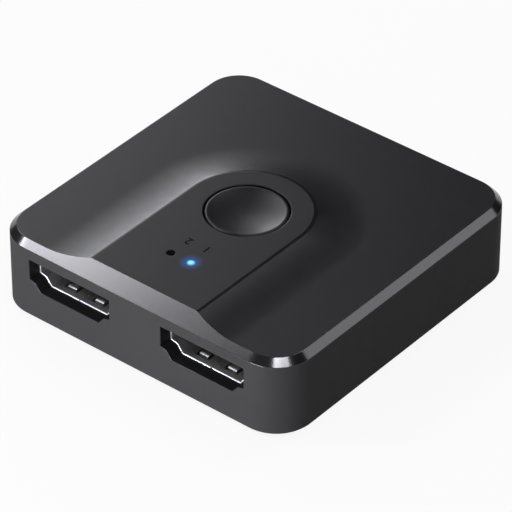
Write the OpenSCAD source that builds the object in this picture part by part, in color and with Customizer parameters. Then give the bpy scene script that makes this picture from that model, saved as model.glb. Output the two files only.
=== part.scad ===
// Desktop HDMI switch box: two sockets in front, one behind, a push button to change over.
// Origin on the table under the middle of the box, Z up, the two-socket face looks along -Y.
// Lengths in millimetres.

/* [Case] */
// Width of the box, left to right
body_w = 52; // [46:0.2:60]
// Depth of the box, front to back
body_d = 52.6; // [47:0.2:60]
// Height of the case from its bottom rim to the flat of the lid
body_h = 12.5; // [12.3:0.1:16]
// Radius of the upright corners
corner_r = 5.9; // [5:0.1:6.4]
// Thickness of the side walls
wall = 2; // [1.6:0.1:2.2]
// Thickness of the lid
lid_t = 1.8; // [1.4:0.1:1.9]
// Polished chamfer round the top edge, measured along either face
edge_chamfer = 1; // [0.5:0.1:1.5]
// Small break of the bottom edge
rim_chamfer = 0.3; // [0.1:0.1:0.5]
// Thickness of the skirt that hides the edge of the base plate
skirt_t = 1; // [0.8:0.1:1.3]

/* [Ridge] */
// Width of the flat on top of the ridge
ridge_w = 19.1; // [18:0.1:22]
// Height of the ridge above the lid
ridge_h = 1.1; // [0.6:0.1:1.6]
// Run of the hollow flank from the edge of the flat down to the lid
flank_w = 7.4; // [4:0.1:8]
// Number of flat steps in the hollow flank
flank_steps = 10; // [6:1:16]
// Inset of the hollow under the ridge from the edge of its flat
ridge_core_inset = 0.5; // [0.3:0.1:0.8]

/* [Button] */
// Diameter of the button cap
button_d = 11.9; // [10:0.1:13]
// Place of the button, front to back
button_y = -2.2; // [-4:0.1:0]
// Gap between cap and hole, all round
button_gap = 0.2; // [0.15:0.05:0.3]
// Depth of the cap's rim below the top of the ridge
button_sink = 0.05; // [0:0.05:0.2]
// Depth of the hollow in the cap
dish_depth = 0.75; // [0.4:0.05:1]
// Width of the rim round the hollow
dish_rim = 0.4; // [0.2:0.05:0.8]
// Bevel on the outer edge of the rim
rim_bevel = 0.2; // [0.1:0.05:0.3]
// Thickness of the cap's skin under the hollow
cap_skin = 1.1; // [0.8:0.1:1.3]
// Thickness of the cap's skirt
cap_wall = 1.2; // [0.8:0.1:1.6]
// Width of the flange that keeps the cap in the case
flange_w = 1.3; // [0.8:0.1:1.6]
// Thickness of that flange
flange_t = 0.9; // [0.6:0.1:1.1]
// Length of the collar that guides the cap, below the lid
collar_drop = 0.8; // [0.4:0.1:1]
// Thickness of that collar
collar_t = 1; // [0.8:0.1:1.2]
// Diameter of the post that presses the switch
post_d = 3.2; // [2.6:0.1:3.6]
// How far the button goes down
button_travel = 0.3; // [0.2:0.05:0.35]
// Gap left between cap, plunger and stops when nothing is pressed
rest_gap = 0.03; // [0.02:0.01:0.05]

/* [Indicators] */
// Diameter of a light pipe where it shows
pipe_d = 1.15; // [0.9:0.05:1.6]
// Distance between the two lights
pipe_pitch = 3.55; // [3.4:0.05:4.5]
// Distance of the lights from the front of the box
pipe_inset = 9.9; // [8:0.1:11]
// Diameter of a light pipe inside the case
pipe_shank_d = 2; // [1.8:0.1:2.2]
// Length of the sleeve that holds a light pipe under the lid
sleeve_len = 1.6; // [1:0.1:2.2]
// Thickness of that sleeve
sleeve_t = 0.6; // [0.5:0.05:0.65]

/* [Sockets] */
// Distance between the two front sockets
port_pitch = 23.8; // [21.6:0.1:25.4]
// Place of the rear socket, left to right
rear_port_x = 0; // [-1:0.5:1]
// Inside width of a socket, wide side up
port_w = 14; // [12.5:0.05:15.7]
// Inside height of a socket
port_h = 4.55; // [4.5:0.05:4.6]
// Width of the socket at the inner end of its step
port_step_w = 11.9; // [11.6:0.1:12.2]
// Width of the socket's floor
port_floor_w = 10; // [9.6:0.1:10.2]
// Height of the upright side's lower end above the floor
port_side_z = 1.5; // [1.4:0.05:1.6]
// Height of the step's inner end above the floor
port_step_z = 1.2; // [1:0.05:1.3]
// Sheet thickness of the socket's shell
sheet = 0.3; // [0.2:0.05:0.35]
// Length of the shell, front to back
shell_len = 10.8; // [10:0.1:11.5]
// Distance from the inside of the wall to the front of the shell
shell_setback = 0.17; // [0.1:0.01:0.3]
// Gap between case and shell opening at the sides
port_side_gap = 0.27; // [0.15:0.01:0.35]
// The same above the opening
port_top_gap = 0.05; // [0.03:0.01:0.2]
// The same below the opening
port_floor_gap = 0.17; // [0.1:0.01:0.25]
// Width of the tongue that carries the contacts
tongue_w = 10.8; // [10.6:0.1:11]
// Thickness of the tongue
tongue_t = 1.6; // [1.4:0.1:1.7]
// Height of the tongue's underside above the floor
tongue_z = 1.75; // [1.6:0.05:1.8]
// Distance from the front of the shell to the tip of the tongue
tongue_setback = 2.2; // [2.1:0.1:2.6]
// Distance from the front of the shell to the block behind the tongue
block_setback = 6.6; // [6:0.1:7]
// Distance between neighbouring contacts of one row
contact_pitch = 1; // [0.95:0.01:1]
// Contacts above the tongue
upper_contacts = 10; // [10:1:10]
// Contacts below the tongue
lower_contacts = 9; // [9:1:9]
// Width of a contact
contact_w = 0.3; // [0.25:0.05:0.35]
// Thickness of a contact
contact_t = 0.12; // [0.1:0.01:0.15]
// Gap between a contact and the moulding it runs through
contact_gap = 0.03; // [0.02:0.01:0.05]
// Distance from the tip of the tongue to the tip of a contact
contact_tip = 0.2; // [0.1:0.05:0.4]
// Distance from the back of the shell to the bend of an upper contact
upper_heel = 1.2; // [1.1:0.05:1.3]
// The same for a lower contact
lower_heel = 0.6; // [0.5:0.05:0.7]
// Length of a contact's foot on the board
contact_foot = 0.4; // [0.3:0.05:0.5]
// Gap between shell and moulding
insulator_gap = 0.03; // [0.02:0.01:0.05]

/* [Springs in the shell] */
// Distance of a spring from the middle of the socket
spring_x = 2.5; // [2.2:0.1:2.8]
// Width of a spring
spring_w = 1.5; // [1.2:0.1:1.6]
// Width of the slot round a spring
spring_slot = 0.4; // [0.3:0.05:0.5]
// Distance from the front of the shell to the tip of a spring
spring_tip = 1.2; // [1:0.1:1.5]
// Length of a spring
spring_len = 4; // [3:0.1:4.5]
// Radius of the bent tip of a spring
spring_bend_r = 0.5; // [0.4:0.05:0.6]
// How far a spring reaches into the socket
spring_rise = 0.2; // [0.1:0.01:0.22]
// Width of the seam along the shell's floor
seam_w = 0.12; // [0.08:0.02:0.2]
// Distance from the front of the shell to the middle of the lock in that seam
lock_y = 1.1; // [0.9:0.1:1.3]
// Width of the lock
lock_w = 0.9; // [0.7:0.1:1]
// Length of the lock
lock_len = 0.7; // [0.5:0.1:0.8]
// Width of a leg of the shell
leg_w = 1; // [0.8:0.1:1.2]
// Distance from the front of the shell to the front legs
front_leg_y = 5; // [4.8:0.1:5.4]
// Distance from the front of the shell to the rear legs
rear_leg_y = 9.4; // [8.6:0.1:9.4]
// Length of a leg below the board
leg_below = 0.5; // [0.2:0.1:0.6]

/* [Board] */
// Thickness of the circuit board
board_t = 1.6; // [1.2:0.1:1.7]
// Height of the board's upper face above the case's bottom rim
board_z = 4.9; // [4.8:0.1:5]
// Gap between board and walls
board_gap = 0.3; // [0.2:0.1:0.5]
// Gap round a leg or screw in the board
hole_gap = 0.2; // [0.15:0.05:0.3]

/* [Base] */
// Thickness of the base plate
base_t = 1.5; // [1.3:0.1:1.6]
// Gap between base plate and skirt
base_gap = 0.1; // [0.05:0.05:0.2]
// Gap between what stands on the base plate and the walls
ring_gap = 0.15; // [0.1:0.05:0.3]
// Thickness of the ring that centres the base plate
ring_t = 0.9; // [0.7:0.1:1.1]
// Height of that ring
ring_h = 1.2; // [0.8:0.1:1.4]
// Diameter of the pillars under the board
pillar_d = 4.7; // [4.5:0.1:4.8]
// Distance of a screw from the side of the box
screw_inset = 4.9; // [4.8:0.05:5.2]
// Gap between the feet of the contacts and the posts for the screws
post_gap = 0.3; // [0.2:0.05:0.6]
// Depth of the bare panel sunk in the underside
panel_depth = 0.15; // [0.1:0.05:0.3]
// Width of that panel
panel_w = 30; // [20:1:32]
// Length of that panel
panel_d = 22; // [15:1:30]
// Corner radius of that panel
panel_r = 2; // [1:0.5:4]

/* [Screws and feet] */
// Thread diameter of a screw
screw_d = 2; // [1.9:0.05:2.1]
// Length of a screw under its head
screw_len = 6; // [5.5:0.1:6.2]
// Length of a screw's point
screw_point = 0.8; // [0.5:0.1:1]
// Diameter at the end of that point
screw_tip_d = 0.5; // [0.4:0.1:0.8]
// Head diameter of a screw
head_d = 3.4; // [3.2:0.1:3.5]
// Head height of a screw
head_h = 1.2; // [1:0.1:1.3]
// Gap round a screw head
head_gap = 0.15; // [0.1:0.05:0.2]
// How far a screw head lies inside the base plate
head_sink = 0.5; // [0.3:0.05:0.6]
// Length of the cross in a screw head
cross_len = 1.9; // [1.6:0.1:2.2]
// Width of that cross
cross_w = 0.45; // [0.35:0.05:0.5]
// Depth of that cross
cross_depth = 0.7; // [0.5:0.1:0.8]
// Diameter of the post that a screw cuts its thread in
boss_d = 3.4; // [3.2:0.1:3.5]
// Hole in that post
pilot_d = 1.7; // [1.6:0.05:1.8]
// Thickness of the web that ties a post to its wall
web_t = 0.8; // [0.6:0.1:1]
// Length of that web, down from the lid
web_len = 3; // [2:0.1:3.5]
// Distance of a foot from the outside of the box
foot_inset = 4.9; // [4.6:0.1:6]
// Diameter of a foot
foot_d = 5.4; // [5:0.1:5.6]
// Thickness of a foot
foot_t = 1; // [0.8:0.1:1.4]
// Depth of the pocket that a foot sits in
foot_pocket = 0.4; // [0.3:0.05:0.5]
// Gap between a foot and its pocket
foot_gap = 0.1; // [0.05:0.05:0.15]
// Bevel on the lower edge of a foot
foot_bevel = 0.15; // [0.1:0.05:0.25]

/* [Push switch] */
// Side of the switch's square base
switch_w = 6; // [5.8:0.1:6.4]
// Height of that base
switch_h = 3.1; // [2.9:0.1:3.3]
// Thickness of the steel cover
cover_t = 0.3; // [0.2:0.05:0.4]
// Width of the tabs that hold the cover
cover_tab_w = 2; // [1.5:0.1:2.4]
// Length of those tabs
cover_tab_len = 2; // [1.5:0.1:2.4]
// Distance of a rivet from the middle of the switch
rivet_x = 2.35; // [2.3:0.05:2.5]
// Diameter of a rivet
rivet_d = 0.8; // [0.6:0.1:0.9]
// Height of a rivet above the cover
rivet_h = 0.2; // [0.1:0.05:0.3]
// Gap round a rivet
rivet_gap = 0.05; // [0.03:0.01:0.1]
// Diameter of the plunger
plunger_d = 3.4; // [3:0.1:3.5]
// Gap round the plunger
plunger_gap = 0.08; // [0.05:0.01:0.1]
// Height of the plunger's end above the board
plunger_top = 5; // [4.6:0.1:5.2]
// Diameter of the collar that keeps the plunger in
plunger_collar_d = 4.1; // [4:0.05:4.2]
// Thickness of that collar
plunger_collar_t = 0.7; // [0.5:0.1:0.8]
// Diameter of the well in the base
well_d = 4.4; // [4.35:0.05:4.5]
// Height of the snap dome when it is pressed flat
dome_flat_h = 0.3; // [0.25:0.05:0.35]
// Thickness of the snap dome
dome_t = 0.1; // [0.08:0.01:0.15]
// Diameter of the snap dome
dome_d = 4; // [3.8:0.05:4.2]
// Width of a switch leg
switch_leg_w = 0.7; // [0.5:0.1:0.9]
// Thickness of a switch leg
switch_leg_t = 0.2; // [0.15:0.05:0.25]
// Distance of a switch leg from the middle
switch_leg_y = 2.25; // [2.1:0.05:2.5]
// Height of a switch leg's upper stretch above the board
switch_leg_z = 0.8; // [0.6:0.05:1]
// How far a switch leg reaches out before it turns down
switch_leg_bend = 0.6; // [0.5:0.05:0.8]
// How far the foot of a switch leg reaches out
switch_leg_out = 1.2; // [1:0.05:1.4]

/* [Chips] */
// Side of the video switching chip
video_chip_w = 7; // [6:0.5:7]
// Height of the video switching chip
video_chip_h = 0.9; // [0.7:0.1:1.2]
// Diameter of the mark at the chip's first corner
mark_d = 0.7; // [0.5:0.1:1]
// Depth of that mark
mark_depth = 0.1; // [0.05:0.05:0.2]
// Distance of that mark from the chip's edges
mark_inset = 1; // [0.8:0.1:1.4]
// Distance of control chip and regulator from the side walls
side_chip_inset = 10; // [9.8:0.1:11]
// Length of the control chip
control_l = 4.9; // [4.5:0.1:5.2]
// Width of the control chip
control_w = 3.9; // [3.6:0.1:4.2]
// Height of the control chip
control_h = 1.45; // [1.2:0.05:1.7]
// Length of the regulator
regulator_l = 2.9; // [2.7:0.1:3.1]
// Width of the regulator
regulator_w = 1.5; // [1.3:0.1:1.7]
// Height of the regulator
regulator_h = 1.1; // [0.9:0.1:1.3]
// Distance between neighbouring leads of the control chip
control_pitch = 1.27; // [1.2:0.01:1.3]
// Distance of the regulator's paired leads from its middle
regulator_lead_y = 0.95; // [0.85:0.05:1.05]
// Thickness of a chip lead
lead_t = 0.18; // [0.12:0.02:0.22]
// Width of a chip lead
lead_w = 0.4; // [0.3:0.05:0.5]
// How far a chip lead reaches out before it turns down
lead_bend = 0.5; // [0.4:0.05:0.6]
// How far a chip lead reaches out
lead_out = 1; // [0.8:0.1:1.2]
// Length of a small ceramic part
ceramic_l = 1.6; // [1.4:0.1:2]
// Width of a small ceramic part
ceramic_w = 0.8; // [0.6:0.1:1.2]
// Height of a capacitor
capacitor_h = 0.8; // [0.6:0.1:1.2]
// Gap between the video switching chip and the capacitors beside it
inner_capacitor_gap = 1.2; // [0.6:0.1:1.6]
// Distance of the outer capacitors from the side walls
outer_capacitor_inset = 4.5; // [4:0.1:5]
// Place of the middle outer capacitors, front to back
outer_capacitor_y = 2; // [1:0.1:3]
// Distance between capacitors of one row
capacitor_step = 2.4; // [1.8:0.1:2.8]
// Height of a resistor
resistor_h = 0.45; // [0.4:0.05:0.6]
// Distance of the innermost resistor from the side walls
resistor_inset = 15; // [14:0.1:15.4]
// Distance between resistors
resistor_step = 3.2; // [2.4:0.1:3.4]
// Place of the resistors, front to back
resistor_y = -4; // [-6:0.1:-2]
// Length of a surge-protection array
array_l = 2.5; // [2:0.1:3]
// Width of a surge-protection array
array_w = 1; // [0.8:0.1:1.4]
// Height of a surge-protection array
array_h = 0.6; // [0.5:0.1:0.9]
// Distance of the front arrays from the middle of their socket
front_array_x = 3; // [2:0.1:4]
// Distance of the arrays from the feet of the contacts
array_gap = 2; // [1:0.1:2.4]
// Gap between the rear arrays and the rear socket
rear_array_gap = 2; // [1.2:0.1:3]
// Length of an indicator LED
led_l = 2; // [1.6:0.1:2.2]
// Length of its lens block
led_lens_l = 1.5; // [1.2:0.1:1.6]
// Thickness of its carrier
led_carrier_h = 0.3; // [0.2:0.05:0.4]
// Gap between an LED and its light pipe
led_gap = 0.2; // [0.1:0.05:0.4]
// Width of an indicator LED
led_w = 1.25; // [1:0.05:1.5]
// Height of an indicator LED
led_h = 0.8; // [0.6:0.05:1]

/* [Hidden] */
$fn = 72;
over = 1;
rim_z = foot_t - foot_pocket;
top_z = rim_z + body_h;
ridge_z = top_z + ridge_h;
ceiling_z = top_z - lid_t;
ridge_ceiling_z = ridge_z - lid_t;
board_top = rim_z + board_z;
board_bottom = board_top - board_t;
plate_top = rim_z + base_t;
floor_z = sheet;

inner_w = body_w - 2 * wall;
inner_d = body_d - 2 * wall;
inner_r = corner_r - wall;
shell_front = body_d / 2 - wall - shell_setback;
tail_y = shell_front - shell_len - upper_heel - contact_foot;
screw_x = body_w / 2 - screw_inset;
screw_y = tail_y - post_gap - boss_d / 2;
seat_z = rim_z + head_sink + head_h;
foot_x = body_w / 2 - foot_inset;
foot_y = body_d / 2 - foot_inset;
pipe_y = pipe_inset - body_d / 2;

button_r = button_d / 2;
hole_r = button_r + button_gap;
cap_top = ridge_z - button_sink;
collar_z = ridge_ceiling_z - collar_drop;
flange_z = collar_z - rest_gap - flange_t;
plunger_z = board_top + plunger_top;
ridge_core_r = ridge_w / 2 - ridge_core_inset;

cover_z = board_top + switch_h;
collar_top_z = cover_z - rest_gap;
collar_low_z = collar_top_z - plunger_collar_t;
dome_h = dome_flat_h + button_travel;
dome_z = collar_low_z - rest_gap - dome_h;

video_chip_y = (button_y + switch_w / 2 + cover_t + tail_y) / 2;
front_array_y = array_gap + array_w / 2 - tail_y;
rear_array_x = port_w / 2 + sheet + rear_array_gap + array_l / 2;
rear_array_y = tail_y + array_gap + array_w / 2;
side_chip_x = inner_w / 2 - side_chip_inset;
inner_capacitor_x = video_chip_w / 2 + inner_capacitor_gap + ceramic_l / 2;
outer_capacitor_x = inner_w / 2 - outer_capacitor_inset;
resistor_x = inner_w / 2 - resistor_inset;

flank_radius = (flank_w * flank_w + ridge_h * ridge_h) / (2 * ridge_h);

// Height of the hollow flank above the lid, at a run s from the edge of the flat.
function flank_height(s) =
    flank_radius - sqrt(flank_radius * flank_radius - (flank_w - s) * (flank_w - s));

// Half outline of the ridge: distance from its middle line against height.
function ridge_outline(low) = concat(
    [[0, low], [ridge_w / 2 + flank_w, low]],
    [for (i = [flank_steps:-1:0])
        [ridge_w / 2 + flank_w * i / flank_steps, top_z + flank_height(flank_w * i / flank_steps)]],
    [[0, ridge_z]]
);

// Inside outline of a socket, wide side up, set out by side, below and above.
function socket_outline(side, below, above) = [
    [-port_floor_w / 2 - side, floor_z - below],
    [port_floor_w / 2 + side, floor_z - below],
    [port_step_w / 2 + side, floor_z + port_step_z - below],
    [port_w / 2 + side, floor_z + port_side_z - below],
    [port_w / 2 + side, floor_z + port_h + above],
    [-port_w / 2 - side, floor_z + port_h + above],
    [-port_w / 2 - side, floor_z + port_side_z - below],
    [-port_step_w / 2 - side, floor_z + port_step_z - below]
];

// Outward direction of the edge from p to q.
function edge_normal(p, q) = [q[1] - p[1], p[0] - q[0]] / norm(q - p);

// Corner q of an outline moved out with both its edges by t.
function moved_corner(p, q, r, t) =
    let (a = edge_normal(p, q), b = edge_normal(q, r))
    q + (a + b) * t / (1 + a * b);

// Outline with every edge moved out by t.
function grown(points, t) =
    let (n = len(points))
    [for (i = [0:n - 1]) moved_corner(points[(i + n - 1) % n], points[i], points[(i + 1) % n], t)];

// Names of all sub-parts.

// Block with round upright corners; its sides lean in from foot_in below to head_in above.
module round_block(w, d, r, h, foot_in = 0, head_in = 0) {
    core_w = w - 2 * r;
    core_d = d - 2 * r;
    side = [[0, 0], [r - foot_in, 0], [r - head_in, h], [0, h]];
    translate([-core_w / 2, -core_d / 2, 0])
        cube([core_w, core_d, h]);
    for (turn = [0, 1]) {
        mirror([turn, 0, 0])
            translate([core_w / 2, core_d / 2, 0])
                rotate([90, 0, 0])
                    linear_extrude(height = core_d)
                        polygon(side);
        mirror([0, turn, 0])
            translate([-core_w / 2, core_d / 2, 0])
                rotate([90, 0, 90])
                    linear_extrude(height = core_w)
                        polygon(side);
        for (half = [0, 1])
            mirror([turn, 0, 0])
                mirror([0, half, 0])
                    translate([core_w / 2, core_d / 2, 0])
                        rotate_extrude(angle = 90)
                            polygon(side);
    }
}

// Puts its children at the four screws.
module at_screws() {
    for (x = [-screw_x, screw_x], y = [-screw_y, screw_y])
        translate([x, y, 0])
            children();
}

// Puts its children at the four feet.
module at_feet() {
    for (x = [-foot_x, foot_x], y = [-foot_y, foot_y])
        translate([x, y, 0])
            children();
}

// Flat-sided tongue shape with a round end at the button, from the front wall back.
module tongue_block(r, low, high) {
    translate([-r, -body_d / 2 + wall, low])
        cube([2 * r, body_d / 2 - wall + button_y, high - low]);
    translate([0, button_y, low])
        rotate_extrude(angle = 180)
            square([r, high - low]);
}

// Ridge with its hollow flanks, running out past the front.
module ridge() {
    low = top_z - edge_chamfer - over;
    for (turn = [0, 1])
        mirror([turn, 0, 0])
            translate([0, button_y, 0])
                rotate([90, 0, 0])
                    linear_extrude(height = body_d / 2 + button_y + over)
                        polygon(ridge_outline(low));
    translate([0, button_y, 0])
        rotate_extrude(angle = 180)
            polygon(ridge_outline(low));
}

// Outside of the case as a solid block.
module case_block() {
    rise = edge_chamfer + ridge_h;
    translate([0, 0, rim_z])
        round_block(body_w, body_d, corner_r, rim_chamfer, foot_in = rim_chamfer);
    translate([0, 0, rim_z + rim_chamfer])
        round_block(body_w, body_d, corner_r, body_h - rim_chamfer - edge_chamfer);
    intersection() {
        translate([0, 0, top_z - edge_chamfer])
            round_block(body_w, body_d, corner_r, rise, head_in = rise);
        union() {
            translate([-body_w, -body_d, top_z - edge_chamfer - over])
                cube([2 * body_w, 2 * body_d, edge_chamfer + over]);
            ridge();
        }
    }
}

// Posts for the screws, each with a web to the wall beside it.
module screw_posts() {
    for (turn = [0, 1], y = [-screw_y, screw_y])
        mirror([turn, 0, 0]) {
            translate([screw_x, y, board_top])
                cylinder(d = boss_d, h = ceiling_z - board_top + over / 2);
            translate([screw_x, y - web_t / 2, ceiling_z - web_len])
                cube([(body_w - wall) / 2 - screw_x, web_t, web_len + over / 2]);
        }
}

// Puts its children in a socket's own place: front of the shell at y = 0, board at z = 0.
module at_front(side) {
    translate([side * port_pitch / 2, -shell_front, board_top])
        children();
}

module at_rear() {
    translate([rear_port_x, shell_front, board_top])
        rotate([0, 0, 180])
            children();
}

// Opening in the wall for a socket.
module socket_opening() {
    rotate([90, 0, 0])
        linear_extrude(height = wall + shell_setback + over)
            polygon(socket_outline(port_side_gap, port_floor_gap, port_top_gap));
}

module upper_case() {
    color("#2b2b2d")
    difference() {
        union() {
            difference() {
                case_block();
                translate([0, 0, rim_z - over])
                    round_block(inner_w, inner_d, inner_r, ceiling_z - rim_z + over);
                translate([0, 0, rim_z - over])
                    round_block(body_w - 2 * skirt_t, body_d - 2 * skirt_t, corner_r - skirt_t,
                        base_t + over);
                tongue_block(ridge_core_r, ceiling_z - over / 2, ridge_ceiling_z);
            }
            screw_posts();
            translate([0, button_y, collar_z])
                cylinder(r = hole_r + collar_t, h = collar_drop + over / 2);
            for (x = [-pipe_pitch / 2, pipe_pitch / 2])
                translate([x, pipe_y, ridge_ceiling_z - sleeve_len])
                    cylinder(d = pipe_shank_d + 2 * rest_gap + 2 * sleeve_t, h = sleeve_len + over / 2);
        }
        translate([0, button_y, collar_z - over])
            cylinder(r = hole_r, h = ridge_z - collar_z + 2 * over);
        for (x = [-pipe_pitch / 2, pipe_pitch / 2])
            translate([x, pipe_y, 0]) {
                translate([0, 0, ridge_ceiling_z - sleeve_len - over])
                    cylinder(d = pipe_shank_d + 2 * rest_gap, h = sleeve_len + over);
                translate([0, 0, ridge_ceiling_z - over / 2])
                    cylinder(d = pipe_d + 2 * rest_gap, h = lid_t + over);
            }
        at_screws()
            translate([0, 0, board_top - over])
                cylinder(d = pilot_d, h = screw_len - board_t + over);
        for (side = [-1, 1])
            at_front(side)
                socket_opening();
        at_rear()
            socket_opening();
    }
}

module base_plate() {
    color("#262628")
    difference() {
        union() {
            translate([0, 0, rim_z])
                round_block(body_w - 2 * skirt_t - 2 * base_gap, body_d - 2 * skirt_t - 2 * base_gap,
                    corner_r - skirt_t - base_gap, base_t);
            difference() {
                translate([0, 0, plate_top - over / 2])
                    round_block(inner_w - 2 * ring_gap, inner_d - 2 * ring_gap, inner_r - ring_gap,
                        ring_h + over / 2);
                translate([0, 0, plate_top - over])
                    round_block(inner_w - 2 * ring_gap - 2 * ring_t, inner_d - 2 * ring_gap - 2 * ring_t,
                        inner_r - ring_gap - ring_t, ring_h + 2 * over);
            }
            intersection() {
                at_screws()
                    translate([0, 0, plate_top - over / 2])
                        cylinder(d = pillar_d, h = board_bottom - plate_top + over / 2);
                translate([0, 0, rim_z])
                    round_block(inner_w - 2 * ring_gap, inner_d - 2 * ring_gap, inner_r - ring_gap,
                        board_top);
            }
        }
        at_feet()
            translate([0, 0, rim_z - over])
                cylinder(d = foot_d + 2 * foot_gap, h = foot_pocket + over);
        at_screws() {
            translate([0, 0, rim_z - over])
                cylinder(d = head_d + 2 * head_gap, h = seat_z - rim_z + over);
            translate([0, 0, rim_z])
                cylinder(d = screw_d + 2 * hole_gap, h = board_top);
        }
        translate([0, 0, rim_z - over])
            round_block(panel_w, panel_d, panel_r, panel_depth + over);
    }
}

module case_screws() {
    color("#b9bcc0")
    at_screws()
        translate([0, 0, seat_z])
            difference() {
                union() {
                    translate([0, 0, -head_h])
                        cylinder(d = head_d, h = head_h);
                    cylinder(d = screw_d, h = screw_len - screw_point);
                    translate([0, 0, screw_len - screw_point])
                        cylinder(d1 = screw_d, d2 = screw_tip_d, h = screw_point);
                }
                for (turn = [0, 90])
                    rotate([0, 0, turn])
                        translate([-cross_len / 2, -cross_w / 2, -head_h - over])
                            cube([cross_len, cross_w, cross_depth + over]);
            }
}

module rubber_feet() {
    color("#1c1c1c")
    at_feet()
        rotate_extrude()
            polygon([[0, 0], [foot_d / 2 - foot_bevel, 0], [foot_d / 2, foot_bevel],
                [foot_d / 2, foot_t], [0, foot_t]]);
}

module circuit_board() {
    color("#14532f")
    difference() {
        translate([0, 0, board_bottom])
            round_block(inner_w - 2 * board_gap, inner_d - 2 * board_gap, inner_r - board_gap, board_t);
        at_screws()
            translate([0, 0, board_bottom - over])
                cylinder(d = screw_d + 2 * hole_gap, h = board_t + 2 * over);
        for (side = [-1, 1])
            at_front(side)
                leg_slots();
        at_rear()
            leg_slots();
    }
}

// Slots in the board for the four legs of a shell.
module leg_slots() {
    for (turn = [0, 1], y = [front_leg_y, rear_leg_y])
        mirror([turn, 0, 0])
            translate([port_w / 2 - hole_gap, y - leg_w / 2 - hole_gap, -board_t - over])
                cube([sheet + 2 * hole_gap, leg_w + 2 * hole_gap, board_t + 2 * over]);
}

// Slot that frees a spring on three sides, cut down through the sheet at height z.
module spring_slot_cut(z) {
    half = spring_w / 2;
    for (x = [-spring_x, spring_x])
        translate([x, 0, z - over / 4])
            difference() {
                translate([-half - spring_slot, spring_tip - spring_slot, 0])
                    cube([spring_w + 2 * spring_slot, spring_len + spring_slot, sheet + over / 2]);
                translate([-half, spring_tip, -over])
                    cube([spring_w, spring_len + over, sheet + 3 * over]);
            }
}

// Bent tips of the two springs on the floor.
module spring_tips() {
    intersection() {
        for (x = [-spring_x, spring_x])
            translate([x - spring_w / 2, spring_tip + spring_bend_r, floor_z + spring_rise - spring_bend_r])
                rotate([0, 90, 0])
                    cylinder(r = spring_bend_r, h = spring_w);
        translate([-port_w / 2, 0, floor_z - sheet / 2])
            cube([port_w, shell_len, port_h]);
    }
}

// Thin cut through the floor from one corner to the other, as wide as the seam.
module seam_bar(x1, y1, x2, y2) {
    translate([x1 - seam_w / 2, y1 - seam_w / 2, -over])
        cube([x2 - x1 + seam_w, y2 - y1 + seam_w, sheet + 2 * over]);
}

// Seam along the floor, with a square lock that steps to one side and back.
module seam_cut() {
    near = lock_y - lock_len / 2;
    far = lock_y + lock_len / 2;
    seam_bar(0, -over, 0, near);
    seam_bar(0, near, lock_w, near);
    seam_bar(lock_w, near, lock_w, far);
    seam_bar(0, far, lock_w, far);
    seam_bar(0, far, 0, shell_len + over);
}

// Metal shell of a socket.
module socket_shell() {
    inner = socket_outline(0, 0, 0);
    roof_z = floor_z + port_h;
    difference() {
        union() {
            translate([0, shell_len, 0])
                rotate([90, 0, 0])
                    linear_extrude(height = shell_len)
                        difference() {
                            polygon(grown(inner, sheet));
                            polygon(inner);
                        }
            for (turn = [0, 1], y = [front_leg_y, rear_leg_y])
                mirror([turn, 0, 0])
                    translate([port_w / 2, y - leg_w / 2, -board_t - leg_below])
                        cube([sheet, leg_w, board_t + leg_below + floor_z + port_side_z + over]);
        }
        spring_slot_cut(0);
        spring_slot_cut(roof_z);
        seam_cut();
    }
    spring_tips();
    translate([0, 0, 2 * floor_z + port_h])
        mirror([0, 0, 1])
            spring_tips();
}

// Moulded block and tongue of a socket.
module socket_insulator() {
    low = floor_z + tongue_z;
    high = low + tongue_t;
    row_w = (upper_contacts - 1) * contact_pitch + contact_w + 2 * contact_gap;
    difference() {
        union() {
            translate([0, shell_len, 0])
                rotate([90, 0, 0])
                    linear_extrude(height = shell_len - block_setback)
                        polygon(grown(socket_outline(0, 0, 0), -insulator_gap));
            translate([-tongue_w / 2, tongue_setback, low])
                cube([tongue_w, block_setback - tongue_setback + over, tongue_t]);
        }
        for (z = [low - contact_t - contact_gap, high])
            translate([-row_w / 2, block_setback - over, z])
                cube([row_w, shell_len - block_setback + 2 * over, contact_t + contact_gap]);
    }
}

// One contact: a strip at height z, bent down behind the block to a foot on the board.
module socket_contact(z, back) {
    tip = tongue_setback + contact_tip;
    heel = shell_len + back;
    toe = heel + contact_foot;
    rotate([90, 0, 90])
        translate([0, 0, -contact_w / 2])
            linear_extrude(height = contact_w)
                polygon([[tip, z], [heel - contact_t, z], [heel - contact_t, 0], [toe, 0],
                    [toe, contact_t], [heel, contact_t], [heel, z + contact_t], [tip, z + contact_t]]);
}

// All contacts of a socket, in two rows half a pitch apart.
module socket_contacts() {
    low = floor_z + tongue_z;
    for (i = [0:upper_contacts - 1])
        translate([(i - (upper_contacts - 1) / 2) * contact_pitch, 0, 0])
            socket_contact(low + tongue_t, upper_heel);
    for (i = [0:lower_contacts - 1])
        translate([(i - (lower_contacts - 1) / 2) * contact_pitch, 0, 0])
            socket_contact(low - contact_t, lower_heel);
}

module front_left_shell() {
    color("#c9ccd0")
    at_front(-1)
        socket_shell();
}

module front_left_insulator() {
    color("#161616")
    at_front(-1)
        socket_insulator();
}

module front_left_contacts() {
    color("#d4af57")
    at_front(-1)
        socket_contacts();
}

module front_right_shell() {
    color("#c9ccd0")
    at_front(1)
        socket_shell();
}

module front_right_insulator() {
    color("#161616")
    at_front(1)
        socket_insulator();
}

module front_right_contacts() {
    color("#d4af57")
    at_front(1)
        socket_contacts();
}

module rear_shell() {
    color("#c9ccd0")
    at_rear()
        socket_shell();
}

module rear_insulator() {
    color("#161616")
    at_rear()
        socket_insulator();
}

module rear_contacts() {
    color("#d4af57")
    at_rear()
        socket_contacts();
}

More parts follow.
